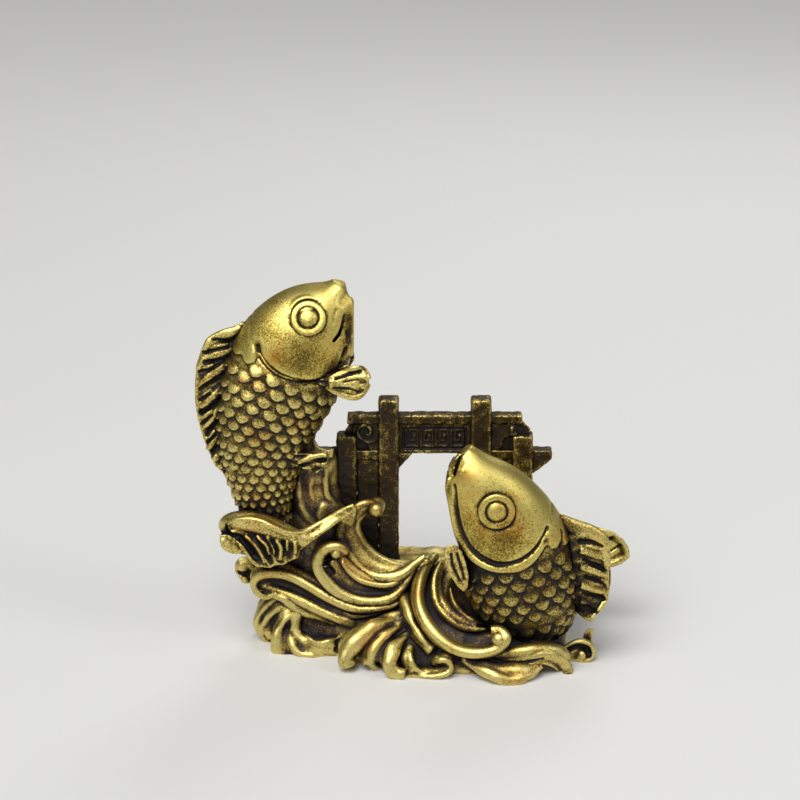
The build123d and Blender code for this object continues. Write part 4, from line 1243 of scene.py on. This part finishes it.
drawn_piece(
    "bowl_rim", **FLOWING,
    sheets=dict(
        slope=([(428, 560), (416, 574), (411, 588), (409, 602), (413, 618), (421, 632), (432, 646)],
            [(432, 560), (424, 572), (420, 586), (420, 602), (424, 616), (432, 630), (444, 642)], 0.3),
    ),
    ridges=dict(
        rim=([(434, 557), (425, 569), (420, 584), (419, 600), (423, 615), (432, 630), (444, 642), (458, 650),
            (475, 653), (491, 651), (502, 645), (506, 637), (500, 630), (491, 630)], 1.7, 0.8, 0.35, 0.8),
    ),
    balls=dict(tip=((499, 639), 1.1, 0.3)),
)
drawn_piece(
    "bowl_fold", **FLOWING,
    ridges=dict(
        outer=([(441, 562), (435, 576), (434, 591), (438, 606), (448, 618), (460, 626), (474, 629),
            (486, 629)], 1.3, 0.6, 0.4, 0.3),
        inner=([(450, 588), (454, 602), (462, 613), (472, 620), (482, 624)], 0.9, 0.5, 0.4, 0.3),
    ),
)
drawn_piece(
    "tongue_wave", **FLOWING,
    ridges=dict(
        back=([(480, 657), (498, 660), (514, 661), (530, 658), (546, 656), (559, 660), (567, 668),
            (568, 676)], 2.0, 0.7, 0.3, 0.7),
        foot=([(492, 662), (508, 666), (524, 665), (540, 662), (552, 665), (560, 672)], 0.7, 0.45, 0.4, 0.5),
    ),
    grooves=dict(crease=([(494, 660), (510, 663), (526, 662), (543, 659)], 0.35, 0.3)),
)
drawn_piece(
    "right_curl", **FLOWING, rounds=12,
    afresh=[(548, 650), (562, 646), (570, 642), (578, 639), (588, 641), (594, 647), (595, 653), (591, 659),
        (583, 662), (573, 661), (560, 664), (548, 664)],
    prisms=dict(spur=([(582, 642), (584, 633), (589, 628), (594, 629), (592, 636), (592, 644)], 1.0, 1.4)),
    ridges=dict(
        roll=([(560, 651), (567, 646), (574, 642), (582, 641), (590, 644), (593, 650), (592, 656),
            (587, 660), (581, 660), (576, 658)], 0.8, 0.6, 0.4, 0.8),
    ),
    balls=dict(tip=((582, 654), 0.75, 0.0)),
    grooves=dict(throat=([(567, 652), (573, 648), (580, 646), (586, 648), (588, 654)], 0.7, 0.6)),
)
drawn_piece(
    "left_curl", **FLOWING, rounds=6,
    afresh=[(235, 572), (235, 563), (239, 558), (246, 556), (254, 560), (264, 568), (276, 576), (276, 592),
        (262, 592), (252, 584), (245, 583), (240, 579)],
    ridges=dict(roll=([(240, 565), (247, 563), (254, 567), (262, 575), (270, 583)], 1.5, 0.6, 0.9, 0.7)),
    balls=dict(
        tip=((243, 565), 1.05, 0.45),
        foot=((245, 579), 0.65, 0.3),
    ),
    grooves=dict(crease=([(237, 573), (243, 573), (250, 573), (256, 577)], 0.6, 0.45)),
)
drawn_piece("back_left_crest", **FLOWING, grain=0.13)
drawn_piece("back_right_crest", **FLOWING, grain=0.13)
drawn_piece(
    "splash_column", **FOLDED, grain=0.15, rounds=10, uneven=(0.25, 1.6),
    prisms=dict(
        shoulder=([(296, 436), (310, 428), (313, 440), (318, 447), (326, 450), (334, 449), (334, 458),
            (296, 462)], 0.6, 0),
    ),
    ridges=dict(
        left_fold=([(300, 470), (298, 486), (300, 503), (308, 517), (318, 524)], 1.2, 0.5, 0.5, 0.5),
        right_fold=([(326, 470), (326, 486), (330, 499), (340, 508)], 1.1, 0.5, 0.5, 0.6),
        middle_fold=([(312, 476), (311, 490), (314, 502)], 0.7, 0.25, 0.5, 0.4),
        foot=([(318, 519), (325, 509), (336, 508), (346, 512)], 2.2, 0.8, 0.5, 0.5),
    ),
)


# Gate. Its members are worn round, and the scrolls and frets stand on them.

SCROLLS = {
    "left_cloud_bracket": [
        (376, 441), (366, 441), (359, 436), (358, 429), (364, 425), (370, 428), (370, 434), (365, 434),
    ],
    "right_cloud_bracket": [
        (507, 441), (516, 441), (523, 436), (524, 429), (518, 425), (512, 428), (512, 434), (517, 434),
    ],
}
# Width and height of a scroll, and its shares at both ends
SCROLL_SIZES = (0.55, 0.4, 0.8, 0.9)
# The dark corners between the brackets, the side posts and the side beams
CORNERS = {
    "left_cloud_bracket": [(345, 430), (352, 421), (377, 421), (377, 450), (345, 450)],
    "right_cloud_bracket": [(495, 421), (522, 421), (530, 428), (530, 450), (495, 450)],
}
CORNER_INSET = 0.35
# A square spiral's corners, as shares of its field's width and height
SPIRAL_SHARES = [
    (0.1, 0.95), (0.1, 0.08), (0.88, 0.08), (0.88, 0.92), (0.36, 0.92), (0.36, 0.36), (0.64, 0.36),
    (0.64, 0.68),
]
SPIRALS = 4
FRET_MARGIN = 0.75
FRET_GIRTH = 0.15
FRET_HEIGHT_SHARE = 1.6
PLAIN_GRAIN = 0.12
CARVED_GRAIN = 0.1
# Height and size of the bumps in the gate's worn skin
GATE_BUMPS = (0.12, 0.9)


def fret(tree, low, high):
    """A plain key fret in square spirals, raised from the field of the board between two corners."""
    middle = (low + high) / 2
    start = Vector((middle[0], low[1] - CUT_OVERRUN, middle[2])) * MM
    field = tree.ray_cast(start, Vector((0, 1, 0)))[0].y / MM
    wide = (high[0] - low[0] - 2 * FRET_MARGIN) / SPIRALS
    tall = high[2] - low[2] - 2 * FRET_MARGIN
    ways = np.tile((0.0, -1.0, 0.0), (4, 1))
    girth = np.full(4, FRET_GIRTH * MM)
    bars = []
    for i in range(SPIRALS):
        x, z = low[0] + FRET_MARGIN + i * wide, low[2] + FRET_MARGIN
        corners = [np.array((x + u * wide, field, z + v * tall)) * MM for u, v in SPIRAL_SHARES]
        for a, b in zip(corners, corners[1:]):
            bars.append(swept(np.linspace(a, b, 4), ways, girth, girth * FRET_HEIGHT_SHARE))
    return bars


def gate_member(member_name):
    """A member with what stands on it. The plaque keeps its corners, so that the fret stays sharp."""
    node_name = f"gate_{member_name}"
    member = from_solid(f"{node_name}_worn", node_name)
    tree = tree_of(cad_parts[node_name])
    places = points_of(member) / MM
    low, high = places.min(axis=0), places.max(axis=0)
    extra = []
    if member_name in SCROLLS:
        extra.append(ridge(SCROLLS[member_name], tree, *SCROLL_SIZES))
        extra.append(prism(CORNERS[member_name], low[1] + CORNER_INSET, high[1]))
    if member_name == "plaque":
        extra.extend(fret(tree, low, high))
    member = joined(member.name, member, *extra)
    cast(member, CARVED_GRAIN if extra else PLAIN_GRAIN, 1 if member_name == "plaque" else 6)
    weathered(member, *GATE_BUMPS)
    finish_piece(member, gate_brass, node_name)


for member_name in (
    "top_beam", "left_side_beam", "right_side_beam", "left_inner_post", "left_outer_post", "right_inner_post",
    "right_outer_post", "plaque", "left_cloud_bracket", "left_side_panel", "left_spandrel",
    "right_cloud_bracket", "right_side_panel", "right_spandrel",
):
    gate_member(member_name)


# Wear and painted shade. Each point keeps its height over the metal round it: 0 in a hollow, 0.5 on the flat,
# 1 on a ridge, lowered where it sees little sky, as patina in its own hollows and as painted shade where
# other metal stands over it.

def rise(piece, rounds):
    """How far each point stands out from the skin after so many rounds of smoothing."""
    even = linked("even", piece.data.copy())
    modify(even, "SMOOTH", factor=0.6, iterations=rounds)
    out = np.einsum("ij,ij->i", points_of(piece).astype(float) - points_of(even), normals_of(piece)) / MM
    bpy.data.objects.remove(even)
    return out


# Where the metal shows copper: place on the photograph, radius in pixels, and strength
COPPER_SPOTS = [
    (466, 476, 10, 0.9), (470, 496, 9, 0.6), (472, 516, 8, 0.7), (484, 530, 8, 0.7), (500, 536, 8, 0.5),
    (274, 357, 9, 0.9), (347, 322, 8, 0.7), (334, 344, 8, 0.5), (330, 358, 9, 0.4), (252, 436, 7, 0.7),
    (264, 450, 8, 0.5), (258, 503, 9, 0.7), (277, 520, 7, 0.9), (565, 550, 7, 0.8), (554, 538, 6, 0.5),
    (311, 490, 12, 0.6), (462, 612, 14, 0.6), (450, 596, 9, 0.6), (600, 540, 9, 0.4),
]
# Spots painted darker or lighter: place, radius in pixels, and how much the metal counts as raised. Several
# are painted light: painted shade on the left carp's lower cheek and on the right carp's flank under its
# head, painted highlight on the right carp's forehead and the left carp's snout; the rest make the metal
# darker or lighter there.
SHADE_AND_TONE_SPOTS = [
    (250, 527, 20, 0.3), (308, 536, 16, 0.2), (612, 547, 14, 0.4), (446, 585, 12, -0.35),
    (455, 608, 13, -0.35), (472, 622, 12, -0.3), (520, 478, 30, 0.2), (300, 362, 24, -0.3),
    (270, 330, 16, -0.12), (325, 300, 16, 0.1), (348, 318, 6, -0.5), (349, 330, 6, -0.5),
    (348, 341, 5, -0.5), (500, 545, 26, -0.28), (462, 520, 16, -0.15), (490, 466, 14, 0.12),
    (535, 495, 16, 0.08), (457, 465, 6, -0.3),
]
# Rounds of smoothing that a rise is read from, and its share in the height
RISES = [(5, 5.5), (40, 2.0), (200, 0.5)]
# A point that sees this share of the sky counts as level; less sky darkens it, as patina in its hollows and
# as painted shade where other metal stands over it. The gate gets less of this darkening.
LEVEL_OPENNESS = 0.76
GATE_OPENNESS_WEIGHT = 0.7
OPENNESS_WEIGHT = 1.6
# Nine ways into the sky over a point, on a spiral from straight up to near the skin
OPEN_WAYS = [
    (math.cos(turn * 2.4) * math.sqrt(1 - up ** 2), math.sin(turn * 2.4) * math.sqrt(1 - up ** 2), up)
    for turn, up in [(i, 1 - (i + 0.5) / 10) for i in range(9)]
]
OPEN_REACH = 5
OFF_SKIN = 0.05


def openness(piece, tree, every):
    """The share of the sky that every so many points see past the other metal, and which points did."""
    places, ways = points_of(piece), normals_of(piece)
    seen, known = np.zeros(len(places)), np.zeros(len(places))
    for i in range(0, len(places), every):
        way = Vector(ways[i])
        start = Vector(places[i]) + way * (OFF_SKIN * MM)
        across = way.orthogonal().normalized()
        other = way.cross(across)
        for x, y, z in OPEN_WAYS:
            hit = tree.ray_cast(start, across * x + other * y + way * z, OPEN_REACH * MM)
            seen[i] += (1.0 if hit[0] is None else hit[3] / (OPEN_REACH * MM)) / len(OPEN_WAYS)
        known[i] = 1
    return seen, known


def read_wear_and_shade(pieces):
    """Keeps on each point its height over the skin round it, darkened where it sees little sky (patina in
    hollows, painted shade under other metal) and raised or lowered at listed spots by painted shade and
    painted highlight, and how coppery it is.
    """
    tree = tree_of(*pieces)
    every = 5
    for piece in pieces:
        edges = edges_of(piece)
        seen, known = [spread(values, edges, 6) for values in openness(piece, tree, every)]
        seen = np.clip(seen / np.maximum(known, 1e-6), 0, 1)
        # The sky a point sees past all the metal darkens it: patina in its own hollows, painted shade where
        # other metal stands over it.
        weight = GATE_OPENNESS_WEIGHT if piece.data.materials[0] == gate_brass else OPENNESS_WEIGHT
        height = 0.5 + weight * (seen - LEVEL_OPENNESS)
        for rounds, share in RISES:
            height += share * rise(piece, rounds)
        spots = pixels_of(points_of(piece))
        copper = np.zeros(len(spots))
        for x, y, radius, strength in COPPER_SPOTS:
            copper = np.maximum(copper, strength * nearness(spots, (x, y), radius))
        # The listed spots raise and lower the height: painted shade and painted highlight at some, darker and
        # lighter metal at the rest.
        for x, y, radius, strength in SHADE_AND_TONE_SPOTS:
            height += strength * nearness(spots, (x, y), radius)
        for name, values in (("height", np.clip(height, 0, 1)), ("copper", copper)):
            layer = piece.data.attributes.new(name, "FLOAT", "POINT")
            layer.data.foreach_set("value", values.astype(np.float32))


read_wear_and_shade(finished)


# Floor, light and camera. Their sizes and places are in metres.

FLOOR_WIDTH = 6
LAMP_WIDTH = 0.2
LAMP_TARGET = Vector((0, 0, 0.025))

bpy.ops.mesh.primitive_plane_add(size=FLOOR_WIDTH, location=(0, 0, 0))
floor = bpy.context.active_object
floor.name = "floor"
# Matt pale grey paper, which leaves the brass the darkest thing in view
paper = bpy.data.materials.new("pale_grey_paper")
paper.use_nodes = True
paper_shader = paper.node_tree.nodes["Principled BSDF"]
paper_shader.inputs["Base Color"].default_value = linear("#d6d6d4")
paper_shader.inputs["Roughness"].default_value = 0.8
floor.data.materials.append(paper)

world = bpy.data.worlds.new("studio")
bpy.context.scene.world = world
world.use_nodes = True
world.node_tree.nodes["Background"].inputs["Color"].default_value = linear("#eae6e0")
world.node_tree.nodes["Background"].inputs["Strength"].default_value = 0.16


def lamp(name, place, power):
    """A square soft lamp that faces the figurine."""
    light = bpy.data.lights.new(name, "AREA")
    light.size = LAMP_WIDTH
    light.energy = power
    made = linked(name, light)
    made.location = place
    made.rotation_euler = (LAMP_TARGET - Vector(place)).to_track_quat("-Z", "Y").to_euler()


lamp("soft_key", (-0.1, -0.24, 0.4), 0.65)
lamp("soft_fill", (0.35, -0.2, 0.3), 0.45)
lamp("soft_rim", (0.1, 0.35, 0.35), 0.45)

# An even light over the whole floor, like a wide window high up in front
sky = bpy.data.lights.new("window_light", "SUN")
sky.energy = 2.3
sky.angle = math.radians(50)
window = linked("window_light", sky)
window.rotation_euler = (math.radians(35), math.radians(-20), 0)

lens = bpy.data.cameras.new("camera")
lens.sensor_fit = "HORIZONTAL"
lens.angle = 2 * math.atan(VIEW_WIDTH / 2 / CAMERA_AWAY)
lens.clip_start = 0.01
lens.clip_end = 20
camera = linked("camera", lens)
camera.location = CAMERA_PLACE * MM
camera.rotation_euler = (math.pi / 2 - CAMERA_RISE, 0, 0)
bpy.context.scene.camera = camera
bpy.context.scene.view_settings.view_transform = "Standard"
